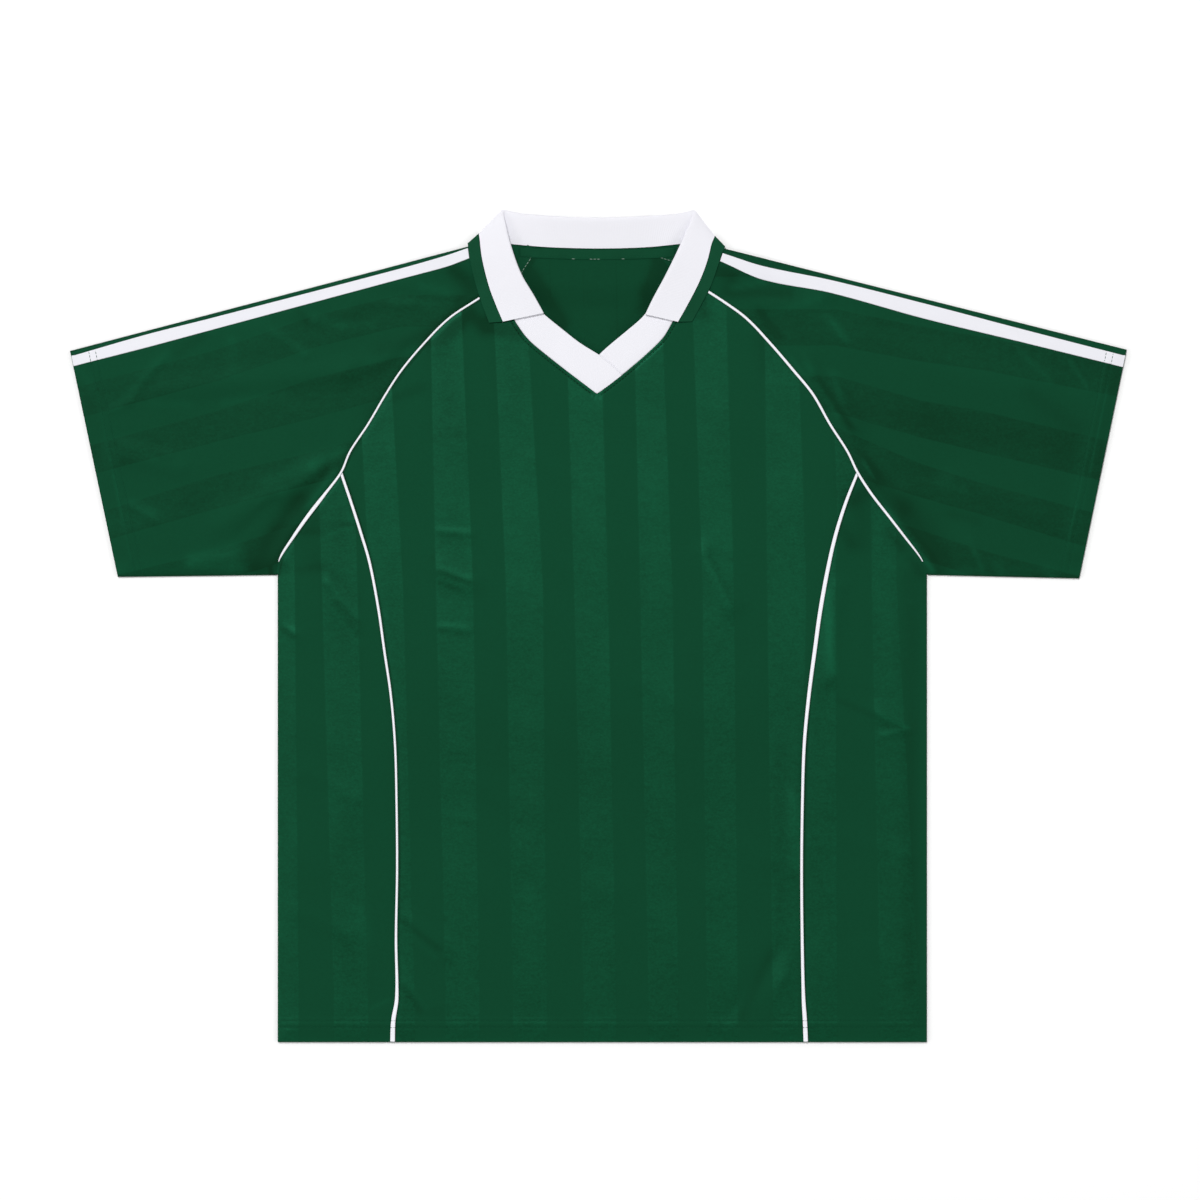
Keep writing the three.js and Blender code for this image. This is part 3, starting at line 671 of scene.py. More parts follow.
LEFT_SLEEVE_STRIPES = {
    "stations": (183.0, 265.0, 352.0, 442.0),
    "edges": [
        ((-689.0, -660.5), (-669.0, -640.5), (-638.5, -610.0), (-614.5, -586.0)),
        ((-632.0, -598.0), (-611.5, -575.5), (-582.0, -554.5), (-557.5, -531.0)),
        ((-567.5, -540.0), (-543.5, -515.0), (-523.0, -493.0), (-494.0, -467.0)),
        ((-507.5, -478.0), (-482.0, -452.0), (-453.0, -424.0), (-431.0, -402.0)),
    ],
}
RIGHT_SLEEVE_STRIPES = {
    "stations": (218.0, 297.0, 355.0, 442.0),
    "edges": [
        ((-676.0, -643.0), (-660.0, -628.5), (-650.0, -620.5), (-633.0, -603.5)),
        ((-614.5, -580.5), (-591.5, -558.0), (-581.5, -544.0), (-561.0, -523.5)),
        ((-568.0, -528.0), (-533.5, -503.0), (-515.0, -486.5), (-492.0, -459.5)),
        ((-496.0, -468.0), (-472.0, -446.0), (-453.0, -428.0), (-430.0, -404.0)),
    ],
}
STRIPE_PITCH = 61.0


def stripe_phase(stripes, across, along):
    """Counts the stripes across the cloth: light from each whole number to the half, then dark."""
    stations = np.asarray(stripes["stations"])
    edges = np.asarray(stripes["edges"], float)
    place = np.clip(along, stations[0], stations[-1] + 60)
    at_stations = edges.transpose(1, 0, 2).reshape(len(stations), -1)
    row = np.clip(np.searchsorted(stations, place) - 1, 0, len(stations) - 2)
    part = ((place - stations[row]) / (stations[row + 1] - stations[row]))[..., None]
    here = mix(at_stations[row], at_stations[row + 1], part)
    passed = np.clip((across[..., None] - here[..., :-1]) / np.diff(here, axis=-1), 0, 1)
    phase = 0.5 * np.sum(passed, axis=-1)
    before = np.minimum(across - here[..., 0], 0) / STRIPE_PITCH
    after = np.maximum(across - here[..., -1], 0) / STRIPE_PITCH
    return phase + before + after


# Shader building
class Value:
    """A shader socket that takes part in sums."""

    def __init__(self, look, socket):
        self.look = look
        self.socket = socket

    def maths(self, operation, *inputs):
        return self.look.node("ShaderNodeMath", {"operation": operation}, dict(enumerate(inputs)))

    def __add__(self, other):
        return self.maths("ADD", self, other)

    def __sub__(self, other):
        return self.maths("SUBTRACT", self, other)

    def __rsub__(self, other):
        return self.maths("SUBTRACT", other, self)

    def __mul__(self, other):
        return self.maths("MULTIPLY", self, other)

    def __mod__(self, other):
        return self.maths("FLOORED_MODULO", self, other)

    def __abs__(self):
        return self.maths("ABSOLUTE", self)

    __radd__ = __add__
    __rmul__ = __mul__


class Look:
    """One material, built from nodes."""

    def __init__(self, name):
        self.material = bpy.data.materials.new(name)
        self.material.use_nodes = True
        self.tree = self.material.node_tree
        self.tree.nodes.clear()
        self.place = self.node("ShaderNodeTexCoord", {}, {}, "Object")

    def node(self, kind, settings, sockets, output=0):
        made = self.tree.nodes.new(kind)
        for name, value in settings.items():
            setattr(made, name, value)
        for name, value in sockets.items():
            if isinstance(value, Value):
                self.tree.links.new(value.socket, made.inputs[name])
            else:
                made.inputs[name].default_value = value
        return Value(self, made.outputs[output])

    def attribute(self, name):
        return self.node("ShaderNodeAttribute", {"attribute_name": name}, {}, "Fac")

    def stretched(self, x, y, z, turn=0.0):
        sockets = {"Vector": self.place, "Scale": (x, y, z), "Rotation": (0, 0, turn)}
        return self.node("ShaderNodeMapping", {}, sockets)

    def noise(self, vector, scale, detail=2.0, roughness=0.5):
        sockets = {"Vector": vector, "Scale": scale, "Detail": detail, "Roughness": roughness}
        return self.node("ShaderNodeTexNoise", {}, sockets)

    def held(self, value):
        return self.node("ShaderNodeClamp", {}, {"Value": value})

    def wave(self, value):
        return value.maths("SINE", value * (2 * math.pi))

    def mixed(self, part, first, second):
        return self.node("ShaderNodeMix", {"data_type": "RGBA"}, {0: part, 6: first, 7: second}, 2)

    def bump(self, height, distance, strength=1.0):
        sockets = {"Height": height, "Distance": distance * MM, "Strength": strength}
        return self.node("ShaderNodeBump", {}, sockets)

    def surface(self, colour, roughness, normal, constants):
        sockets = {"Base Color": colour, "Roughness": roughness, "Normal": normal, **constants}
        shader = self.node("ShaderNodeBsdfPrincipled", {}, sockets)
        self.node_output(shader)
        return self.material

    def node_output(self, shader):
        made = self.tree.nodes.new("ShaderNodeOutputMaterial")
        self.tree.links.new(shader.socket, made.inputs["Surface"])


def shade(red, green, blue):
    """A colour as the picture shows it, from 0 to 255, for the shader."""
    def linear(part):
        return part / 12.92 if part <= 0.04045 else ((part + 0.055) / 1.055) ** 2.4

    return linear(red / 255), linear(green / 255), linear(blue / 255), 1.0


# The ends of the knit's colour mix: the stripes and grain, and also the painted shade and highlights, move
# between them
GREEN_DEEP = shade(5.4, 24, 3.2)
GREEN_BRIGHT = shade(14, 72, 46)
WHITE_SOFT = shade(231.5, 231, 237)
WHITE_BRIGHT = shade(237.5, 237, 243)
TAPE_SOFT = shade(227.5, 227.5, 233.5)
TAPE_BRIGHT = shade(233, 233, 239)
KNIT_SHEEN = {"Specular IOR Level": 0.4, "Specular Tint": (0.1, 1, 0.52, 1)}
GREEN_SHEEN = {"Specular IOR Level": 0.12, "Specular Tint": (0.3, 1, 0.6, 1)}
RIB_SHEEN = {"Specular IOR Level": 0.08}


def make_striped_knit(name, base=0.42, lighter=0.04, glossier=0.2, coarse=1.0, turn=0.0):
    """Green knit: its light stripes are grainy and catch the light, and its dark ones are smooth."""
    look = Look(name)
    phase = look.attribute("stripe")
    from_edge = abs((phase + 0.75) % 1.0 - 0.5) - 0.25
    light = look.held(from_edge * 40 + 0.5)
    border = look.held(1 - abs(from_edge) * 90)
    grain = look.noise(look.stretched(0.7, 1, 1, turn), 560, 3, 0.75)
    crinkle = look.noise(look.stretched(0.45, 1, 1, turn), 190, 2, 0.55)
    cloud = look.noise(look.place, 9, 3, 0.6)
    rough_part = (grain - 0.5) * 0.9 + (crinkle - 0.5) * 0.3
    satin = base + (grain - 0.5) * 0.25 + (cloud - 0.5) * 0.06
    matt = base + lighter + rough_part * coarse + (cloud - 0.5) * 0.4 * coarse
    # The attribute read here carries painted shade and painted highlights, added to the knit's colour
    part = look.held(satin + (matt - satin) * light - 0.07 * border + look.attribute("painted_shading"))
    colour = look.mixed(part, GREEN_DEEP, GREEN_BRIGHT)
    height = grain * (0.15 + 0.6 * light) + crinkle * (0.05 + 0.3 * light)
    return look.surface(colour, 0.66 - glossier * light, look.bump(height, 0.16, 0.6), KNIT_SHEEN)


def make_rib(name, deep, bright, constants):
    """Fine rib knit, its ribs running across the band."""
    look = Look(name)
    rib = look.wave(look.attribute("along") * (1 / RIB_PITCH))
    grain = look.noise(look.place, 900, 2, 0.6)
    cloud = look.noise(look.place, 40, 2)
    part = look.held(0.5 + rib * 0.08 + (grain - 0.5) * 0.5 + (cloud - 0.5) * 0.5)
    colour = look.mixed(part, deep, bright)
    roughness = 0.85 + rib * 0.05
    normal = look.bump(rib * 0.5 + grain * 0.4, 0.1, 0.5)
    return look.surface(colour, roughness, normal, constants)


def make_smooth(name, deep, bright, roughness, constants):
    """Close plain cloth: tape, piping and thread."""
    look = Look(name)
    grain = look.noise(look.place, 1100, 2, 0.6)
    cloud = look.noise(look.place, 60, 2)
    part = look.held(0.5 + (grain - 0.5) * 0.6 + (cloud - 0.5) * 0.6)
    colour = look.mixed(part, deep, bright)
    return look.surface(colour, roughness + 0.06 * grain, look.bump(grain, 0.08, 0.5), constants)


BODY_KNIT = make_striped_knit("Body knit")
SLEEVE_KNIT = make_striped_knit("Sleeve knit", 0.37, -0.22, 0.06, 0.7, math.radians(13))
INSIDE_KNIT = make_striped_knit("Inside of the knit", 0.28, -0.03, 0.02, 0.3)
WHITE_RIB = make_rib("White rib", WHITE_SOFT, WHITE_BRIGHT, RIB_SHEEN)
GREEN_RIB = make_rib("Green rib", shade(15, 58, 36), shade(22, 78, 53), GREEN_SHEEN)
WHITE_TAPE = make_smooth("White tape", TAPE_SOFT, TAPE_BRIGHT, 0.7, RIB_SHEEN)
WHITE_PIPING = make_smooth("White piping", WHITE_BRIGHT, shade(246, 246, 252), 0.65, RIB_SHEEN)
GREEN_TAPE = make_smooth("Green tape", shade(11, 54, 33), shade(17, 72, 47), 0.7, GREEN_SHEEN)
GREEN_THREAD = make_smooth("Green thread", shade(9, 46, 27), shade(15, 66, 42), 0.5, KNIT_SHEEN)
# Real thread, but darkened to stand also for the painted shade of the groove it lies in
THREAD_WITH_PAINTED_GROOVE_SHADE = make_smooth("Dark green thread with painted groove shade", shade(3, 18, 9), shade(6, 28, 15), 0.8, RIB_SHEEN)
PALE_THREAD = make_smooth("Pale thread", shade(110, 140, 125), shade(165, 185, 174), 0.6, RIB_SHEEN)


# Front panels
def steps_between(*stops, step=STEP):
    """Evenly spaced places through each of the stops."""
    parts = [np.linspace(start, end, max(2, round((end - start) / step) + 1))[:-1]
             for start, end in zip(stops[:-1], stops[1:])]
    return np.concatenate(parts + [[stops[-1]]])


NEAR_HEM = [0, 0.2, 0.6, 1.2, 2.2, 4, 6.5, 9, 11.2, 12.6, 13.7, 14.8, 16.8, 18.9, 20, 21.1, 22.6]
NEAR_EDGE = [0, 0.12, 0.45, 1.0, 1.8, 3.0, 4.6]
NEAR_SEAM = [0, 1.2, 2.4, 3.8]
NEAR_NECK = [0, 0.8, 1.6, 2.4, 3.2, 4.0, 4.8, 5.6, 6.6, 8.0]


def hem_shape(inset, lines):
    """A turned hem: its fold rounds over, the cloth is double up to the stitches, and they pull it in."""
    doubled = 0.24 * (1 - ease((inset - lines[1] - 0.5) / 2.5))
    pulled = sum(0.22 * np.exp(-(((inset - line) / 0.9) ** 2)) for line in lines)
    fold = 1.0 - np.sqrt(1 - (1 - np.clip(inset / 1.2, 0, 1)) ** 2)
    return doubled - pulled - 0.9 * fold


def across_parts(width, outer_steps, inner_steps, columns):
    """Places across a panel, from 0 to 1: at set distances from both edges, and evenly between them."""
    def beside(steps):
        return np.array(steps) * np.minimum(1 / np.maximum(width, 1e-6), 0.25 / steps[-1])[:, None]

    outer, inner = beside(outer_steps), 1 - beside(inner_steps)[:, ::-1]
    even = np.linspace(0, 1, columns)[1:-1]
    middle = outer[:, -1:] + (inner[:, :1] - outer[:, -1:]) * even
    return np.concatenate([outer, middle, inner], axis=1)


def across_rows(ups, outer, inner, part):
    """Places across a panel at each height, from its outer to its inner edge."""
    x = mix(outer[:, None], inner[:, None], part)
    return x, np.repeat(ups[:, None], part.shape[1], axis=1)


def painted_piping_shadow(x, y, side, *seams):
    """Painted shadow on the knit to the right of the piping in these seams, where it turns down away from the
    light.
    """
    away = np.minimum.reduce([distance_to(x, y, swapped(side[seam])) for seam in seams])
    return -0.5 * np.exp(-(((away - PIPING_FLANK) / 0.8) ** 2))


# The knit's stripe phase, and its painted shade and highlights, as attributes
KNIT_VALUES = {"stripe": 3, "painted_shading": 4}


# Points with their stripe phase and their painted shade and highlights
def knit_grid(x, y, z, phase, painted_shading):
    return np.stack([x, y, z, phase, painted_shading], -1)


def front_half(side):
    """One half of the front centre panel, from its outer seams to the middle and the V."""
    up_to_neck = steps_between(22.6, UNDERARM, FORK, TIP, side["corner"][0])
    ups = np.concatenate([NEAR_HEM[:-1], up_to_neck])
    outer = np.where(ups < FORK, through(side["panel"], ups), through(side["raglan"], ups))
    inner = np.where(ups <= TIP, MIDDLE, through(side["neck"], ups))
    outer[-1] = inner[-1] = side["corner"][1]
    x, y = across_rows(ups, outer, inner, across_parts(np.abs(inner - outer), NEAR_SEAM, NEAR_NECK, 52))
    z = front_top(x, y) + neck_welt(x, y) + hem_shape(y, HEM_LINES)
    # Painted shade and painted highlights of the front, from the table of strokes
    painted_shading = folded(x, y, PAINTED_SHADE_AND_HIGHLIGHT)
    # The left half also gets painted shadow beside its piping
    if side is LEFT:
        painted_shading += painted_piping_shadow(x, y, side, "panel", "raglan")
    return knit_grid(x, y, z, stripe_phase(BODY_STRIPES, x, y), painted_shading)


def make_front():
    halves = [front_half(LEFT), front_half(RIGHT)[:, ::-1]]
    cloth("Front_Panel", ["front_body"], halves, BODY_KNIT,
          KNIT_VALUES, inside=INSIDE_KNIT)


def make_side_panel(side, stripes):
    ups = np.concatenate([NEAR_HEM[:-1], steps_between(22.6, UNDERARM, FORK)])
    outer = np.where(ups <= UNDERARM, side["edge"], through(side["raglan"], ups))
    inner = through(side["panel"], ups)
    x, y = across_rows(ups, outer, inner, across_parts(np.abs(inner - outer), NEAR_EDGE, NEAR_SEAM, 34))
    height = front_top(x, y) + hem_shape(y, HEM_LINES)
    inset = np.where(y <= UNDERARM, np.abs(x - side["edge"]), EDGE_ROUND)
    # Painted shade and highlights, with painted shadow beside the piping
    painted_shading = folded(x, y, PAINTED_SHADE_AND_HIGHLIGHT) + painted_piping_shadow(x, y, side, "raglan" if side is LEFT else "panel")
    grid = knit_grid(x, y, rounded(inset, height, x, y), stripe_phase(stripes, x, y), painted_shading)
    cloth(f"Side_Panel_{side['name']}", [f"front_side_{side['node']}"], [grid], BODY_KNIT,
          KNIT_VALUES, inside=INSIDE_KNIT)


def back_neck(x):
    """How far up the back panel's neck seam is, at a place across."""
    return 731.6 + 0.0006 * x**2


def make_back():
    ups = np.concatenate([NEAR_HEM[:-1], steps_between(22.6, UNDERARM, LEFT["back"][-1][0], step=3.2)])
    left = np.where(ups <= UNDERARM, LEFT["edge"], through(LEFT["back"], ups))
    right = np.where(ups <= UNDERARM, RIGHT["edge"], through(RIGHT["back"], ups))
    x, y = across_rows(ups, left, right, across_parts(right - left, NEAR_EDGE, NEAR_EDGE, 100))
    y[-1] = back_neck(x[-1])
    inset = np.where(y <= UNDERARM, np.minimum(x - LEFT["edge"], RIGHT["edge"] - x), EDGE_ROUND)
    z, phase = rounded(inset, back_under(x, y), x, y), (x + 0.02 * y) / STRIPE_PITCH
    # The inside of the back carries the collar's painted shadow
    grid = knit_grid(x, y, z, phase, folded(x, y, BACK_PAINTED_SHADE))
    cloth("Back_Panel", ["back_body"], [grid], BODY_KNIT,
          KNIT_VALUES, thickness=BACK_WALL, down=True, inside=INSIDE_KNIT)


# Sleeves
def seam_points(side, back):
    """The sleeve's seam from under the arm to the shoulder: raglan, then neck."""
    rows = side["back"] if back else side["raglan"]
    ups = np.linspace(rows[0][0], rows[-1][0], 90)
    raglan = np.stack([through(rows, ups), ups], -1)
    if back:
        return np.concatenate([raglan, np.array(swapped(side["back_neck"]))])
    neck_ups = np.linspace(rows[-1][0], side["neck"][-1][0], 12)[1:]
    return np.concatenate([raglan, np.stack([through(side["neck"], neck_ups), neck_ups], -1)])


SLEEVE_STEPS = 128
NEAR_CUFF = [
    0, 0.2, 0.6, 1.2, 2.2, 4, 6.5, 9, 10.6, 11.8, 13, 15, 16, 17, 18.2, 19.4, 21.4, 22.4, 23.2, 24.4, 26.5]


def sleeve_top(side, x, y):
    """The height of a sleeve's upper face, with the turned hem at its cuff."""
    to_cuff = distance_to(x, y, [side["cuff_bottom"], side["cuff_top"]])
    return front_top(x, y) + hem_shape(to_cuff, side["cuff_lines"])


def sleeve_layer(side, back, columns):
    """Places over one layer of the sleeve, from cuff to seam and from the arm's underside to the fold."""
    seam = seam_points(side, back)
    seam[0] = seam_points(side, False)[0]
    seam[-1] = seam_points(side, False)[-1]
    run = run_along(seam)
    bottom, top = np.array(side["cuff_bottom"]), np.array(side["cuff_top"])
    cuff_width = np.hypot(*(top - bottom))
    near, edge = np.array(NEAR_CUFF), np.array(NEAR_EDGE)
    even = np.linspace(0, 1, SLEEVE_STEPS)[1:]
    rows = []
    for step in range(len(near) + len(even)):
        far = 0 if step < len(near) else even[step - len(near)]
        width = mix(cuff_width, run[-1], far)
        inner = np.linspace(edge[-1] / width, 1 - edge[-1] / width, columns)[1:-1]
        part = np.concatenate([edge / width, inner, 1 - edge[::-1] / width])
        at_seam = np.stack([np.interp(part * run[-1], run, seam[:, axis]) for axis in (0, 1)], -1)
        at_cuff = mix(bottom, top, part[:, None])
        length = np.hypot(*(at_seam - at_cuff).T)
        reach = near[step] / length if step < len(near) else mix(near[-1] / length, 1, far)
        place = mix(at_cuff, at_seam, reach[:, None])
        rows.append(np.concatenate([place, np.minimum(part, 1 - part)[:, None] * width], axis=1))
    return np.stack(rows)


def make_sleeve(side, stripes):
    """One piece of cloth round the arm: its front layer goes over into its back layer at both folds."""
    x, y, inset = np.moveaxis(sleeve_layer(side, False, 80), -1, 0)
    z = rounded(inset, sleeve_top(side, x, y), x, y)
    # The sleeve's front layer carries painted shade and highlights; its back layer none
    front = knit_grid(x, y, z, stripe_phase(stripes, -y, np.abs(x)), folded(x, y, PAINTED_SHADE_AND_HIGHLIGHT))
    x, y, inset = np.moveaxis(sleeve_layer(side, True, 40), -1, 0)
    z = rounded(inset, back_under(x, y), x, y)
    back = knit_grid(x, y, z, stripe_phase(stripes, -y, np.abs(x)), 0 * x)
    tube = np.concatenate([front, back[:, ::-1]], axis=1)
    cloth(f"Sleeve_{side['name']}", [f"sleeve_{side['node']}"], [tube], SLEEVE_KNIT,
          KNIT_VALUES, above=1.9, inside=INSIDE_KNIT)


make_back()
make_sleeve(LEFT, LEFT_SLEEVE_STRIPES)
make_sleeve(RIGHT, RIGHT_SLEEVE_STRIPES)
make_front()
make_side_panel(LEFT, LEFT_STRIPES)
make_side_panel(RIGHT, RIGHT_STRIPES)


# Piping and tapes
def edge_drop(inset, radius):
    """How far a rounded edge has fallen this far in from its end."""
    part = 1 - np.clip(inset / radius, 0, 1)
    return radius * (1 - np.sqrt(1 - part**2))


def ribbon(centre, offsets):
    """Places beside a line of points, at these distances to its side."""
    run = np.gradient(centre, axis=0)
    run /= np.hypot(*run.T)[:, None]
    x = centre[:, :1] + offsets * run[:, 1:]
    y = centre[:, 1:] - offsets * run[:, :1]
    return x, y


def collar_edge(side, up):
    """How far across the collar's outer edge lies in front, at a height up."""
    rows = sorted((row[7], row[6]) for row in COLLAR if side["hand"] * row[6] > 0 and row[9] < 180)
    return np.interp(up, *zip(*rows))


def met(x, y, end, short):
    """Draws one end of a strip out along itself until it isn't short of what it meets."""
    step = 1 if end == 0 else -1
    run_x, run_y = x[end] - x[end + step], y[end] - y[end + step]
    length = np.hypot(run_x, run_y)
    for _ in range(10):
        missing = 0.8 * short(x[end], y[end]) / length
        x[end] += run_x * missing
        y[end] += run_y * missing


def short_of_collar(side):
    return lambda x, y: side["hand"] * (x - collar_edge(side, y)) - EDGE_CLEAR


def short_of_raglan(side):
    return lambda x, y: distance_to(x, y, swapped(side["raglan"])) - FORK_CLEAR


def make_piping(name, node, rows, widths, short):
    """Piping along a seam. It shows as wide as its table of (up, width) says."""
    ups = steps_between(widths[0][0], widths[0][0] + 6, widths[-1][0])
    part = np.sin(np.linspace(-0.5, 0.5, 13) * math.pi)
    x, y = ribbon(np.stack([through(rows, ups), ups], -1), 0.5 * through(widths, ups)[:, None] * part)
    met(x, y, -1, short)
    crest = PIPING_CREST * np.sqrt(1 - 0.96 * part**2) - 0.16 * np.exp(-((part / 0.2) ** 2))
    z = front_top(x, y) + 0.35 + crest
    cloth(name, [node], [np.stack([x, y, z], -1)], WHITE_PIPING,
          thickness=0.5)


def cuff_across(side, up):
    """Where the cuff's edge is, at a height up."""
    (bottom_x, bottom_y), (top_x, top_y) = side["cuff_bottom"], side["cuff_top"]
    return mix(bottom_x, top_x, (up - bottom_y) / (top_y - bottom_y))


def make_stripe(side):
    """The white tape along the top of a sleeve, on closer stations over the stitches of the cuff."""
    rows = sorted(side["stripe"])
    cuff, collar = (0, -1) if side is LEFT else (-1, 0)
    change = rows[cuff][0] - side["hand"] * CUFF_SPAN
    first, second = (CUFF_STEP, STEP) if side is LEFT else (STEP, CUFF_STEP)
    across = np.concatenate([steps_between(rows[0][0], change, step=first)[:-1],
                             steps_between(change, rows[-1][0], step=second)])
    part = np.array([0, 0.03, 0.1, 0.3, 0.5, 0.7, 0.9, 0.97, 1])
    bottom, top = through(rows, across, 2), through(rows, across, 1)
    x, y = np.repeat(across[:, None], len(part), axis=1), mix(bottom[:, None], top[:, None], part)
    x[cuff] = cuff_across(side, y[cuff]) - side["hand"] * 0.5
    met(x, y, collar, short_of_collar(side))
    inset = np.minimum(part, 1 - part) * (top - bottom)[:, None]
    z = sleeve_top(side, x, y) + 1.0 - edge_drop(inset, 0.5)
    cloth(f"Sleeve_Stripe_{side['name']}", [f"sleeve_stripe_{side['node']}"], [np.stack([x, y, z], -1)],
          WHITE_TAPE, thickness=0.5)


def tape_bottom(across):
    """How far up the neck tape's lower edge is."""
    return 721.8 + 0.0005 * across**2


def make_neck_tape():
    across = steps_between(-72, 70, step=3)
    part = np.array([0, 0.05, 0.15, 0.5, 0.85, 0.95, 1])
    bottom, top = tape_bottom(across), 730.8 + 0.0004 * across**2
    x, y = np.repeat(across[:, None], len(part), axis=1), mix(bottom[:, None], top[:, None], part)
    inset = np.minimum(part, 1 - part) * 9
    z = back_under(x, y) + TAPE_RISE - edge_drop(inset, 0.5)
    cloth("Back_Neck_Tape", ["back_neck_tape"], [np.stack([x, y, z], -1)], GREEN_TAPE,
          thickness=0.6)


# How wide the piping shows, as (up, width)
RAGLAN_WIDTHS = {
    "left": [
        (443.5, 0.9), (450, 1.9), (466, 2.7), (486, 3.3), (498, 3.2), (512, 2.3), (540, 1.9), (683.6, 1.9)],
    "right": [
        (443.5, 0.9), (450, 1.5), (466, 2.1), (486, 2.3), (512, 2.4), (540, 2.1), (620, 2.4), (690.5, 2.3)],
}
SIDE_WIDTHS = {
    "left": [(0.8, 4.3), (20, 4.0), (60, 2.6), (200, 2.0), (400, 2.3), (480, 2.5), (521, 2.5)],
    "right": [(0.8, 4.1), (20, 3.9), (60, 2.9), (200, 2.5), (400, 3.6), (480, 3.1), (521, 2.5)],
}

for side in SIDES:
    make_piping(f"Piping_Raglan_{side['name']}", f"piping_raglan_{side['node']}", side["raglan"],
                RAGLAN_WIDTHS[side["node"]], short_of_collar(side))
    make_piping(f"Piping_Side_{side['name']}", f"piping_side_{side['node']}", side["panel"],
                SIDE_WIDTHS[side["node"]], short_of_raglan(side))
    make_stripe(side)
make_neck_tape()


# The raglan seams' allowances, seen inside the back of the neck
ALLOWANCES = {"Left": ((-78, 699), (-57.5, 730.5), 9.5), "Right": ((73, 718.6), (47, 726.4), 5.0)}


def on_back(x, y, height):
    """Points this far above the inner face of the back."""
    return np.stack([x, y, back_under(x, y) + BACK_WALL + height], -1)


def make_allowance(name, start, end, width):
    part = np.linspace(0, 1, 18)
    x, y = mix(start[0], end[0], part), mix(start[1], end[1], part)
    x, y = ribbon(np.stack([x, y], -1), -np.sign(start[0]) * width * np.linspace(-1, 0, 6))
    cloth(f"Seam_Allowance_{name}", [], [on_back(x, y, 0.36)], GREEN_TAPE,
          thickness=0.26)


for name, (start, end, width) in ALLOWANCES.items():
    make_allowance(name, start, end, width)


# Rib bands of the V
def evenly(line, count):
    """Points at even steps along a smooth line through these points."""
    line = np.asarray(line, float)
    run = run_along(line)
    rows = np.column_stack([run, line])
    at = np.linspace(0, run[-1], count)
    return np.stack([through(rows, at, 1), through(rows, at, 2)], -1)


def neck_line(side, *ups):
    """Points along the neck seam at these heights, a gap inside the front panel's edge."""
    ups = np.array(ups, float)
    return [*zip(through(side["neck"], ups) - side["hand"] * GAP, ups)]


def crossed(x):
    """From 0 to 1 where the left band comes to lie over the right one."""
    return ease((x + 42) / 20)


BAND_PARTS = np.array([0, 0.02, 0.06, 0.2, 0.35, 0.5, 0.65, 0.8, 0.94, 0.98, 1])


def make_band(name, node, sections, rise):
    """A band from sections of its outer and inner edge, so that its corner at the V's tip stays sharp."""
    outer = np.concatenate([evenly(edge, count)[skip:] for edge, _, count, skip in sections])
    inner = np.concatenate([evenly(edge, count)[skip:] for _, edge, count, skip in sections])
    part = BAND_PARTS[None, :, None]
    place = mix(outer[:, None], inner[:, None], part)
    x, y = place[..., 0], place[..., 1]
    width = np.hypot(*(outer - inner).T)[:, None]
    inset = np.minimum(BAND_PARTS, 1 - BAND_PARTS) * width
    along = run_along(0.5 * (outer + inner))
    z = front_top(x, y) + rise(x) - edge_drop(inset, 0.45)
    grid = np.stack([x, y, z, np.repeat(along[:, None], len(BAND_PARTS), axis=1)], -1)
    cloth(name, [node], [grid], WHITE_RIB, {"along": 3},
          thickness=0.8)


FIRST = TIP + (RIGHT["corner"][0] - TIP) / 6
CROSSING = TIP + 0.45 * (FIRST - TIP)
left_outer = neck_line(LEFT, 674, 662, 648, 634, 620, 607, TIP + 1.4) + [(MIDDLE, TIP + 2 * GAP)]
left_end = [(MIDDLE, TIP + 2 * GAP)] + neck_line(RIGHT, TIP + 3, CROSSING)
right_outer = neck_line(RIGHT, 676, 664, 650, 636, 624, FIRST)
make_band("Neck_Band_Left", "neck_band_left",
          [(left_outer, BAND_LEFT_INNER[:5], 56, 0),
           (left_end, BAND_LEFT_INNER[4:] + neck_line(RIGHT, FIRST), 12, 1)],
          lambda x: 0.9 * crossed(x))
make_band("Neck_Band_Right", "neck_band_right",
          [(right_outer, BAND_RIGHT_INNER[:5], 50, 0),
           ([right_outer[-1], (2.2, 602.8)], BAND_RIGHT_INNER[4:], 8, 1)],
          lambda x: -0.55 * ease((30 - x) / 12))


# Collar
def collar_heights():
    """Heights of the neck seam, the white edge and the outer edge at each station."""
    heights = []
    last = len(COLLAR) - 1
    for place, (neck_x, neck_y, _, _, white_x, white_y, outer_x, outer_y, _, turn) in enumerate(COLLAR):
        if turn == 0:
            over_band = 4.5 if min(place, last - place) < 2 else 4.1
            neck = max(front_top(neck_x, neck_y) - WALL, over_band) + 0.6
            heights.append((neck, front_top(white_x, white_y) + 2.1, front_top(outer_x, outer_y) + 0.85))
        elif turn == 90:
            edges = (neck_x, neck_y), (white_x, white_y), (outer_x, outer_y)
            heights.append([middle_height(*edge) for edge in edges])
        else:
            heights.append((back_under(neck_x, neck_y) + 0.6, 0.6, 0.6))
    return np.array(heights, float)


def collar_lines(spot):
    rows = np.array(COLLAR, float)
    neck, white, outer = collar_heights().T
    columns = {
        "neck": (0, 1, neck),
        "roll": (2, 3, rows[:, 8]),
        "white": (4, 5, white),
        "outer": (6, 7, outer),
    }
    lines = {}
    for name, (x, y, z) in columns.items():
        table = np.column_stack([np.arange(len(rows)), rows[:, x], rows[:, y], z])
        lines[name] = np.stack([through(table, spot, column) for column in (1, 2, 3)], -1)
    return lines


def unit(vectors):
    return vectors / np.linalg.norm(vectors, axis=-1, keepdims=True)


def with_length(grid):
    """Adds the length along the middle of a grid, which carries its ribs."""
    along = run_along(grid[:, grid.shape[1] // 2])
    return np.concatenate([grid, np.repeat(along[:, None, None], grid.shape[1], axis=1)], axis=2)


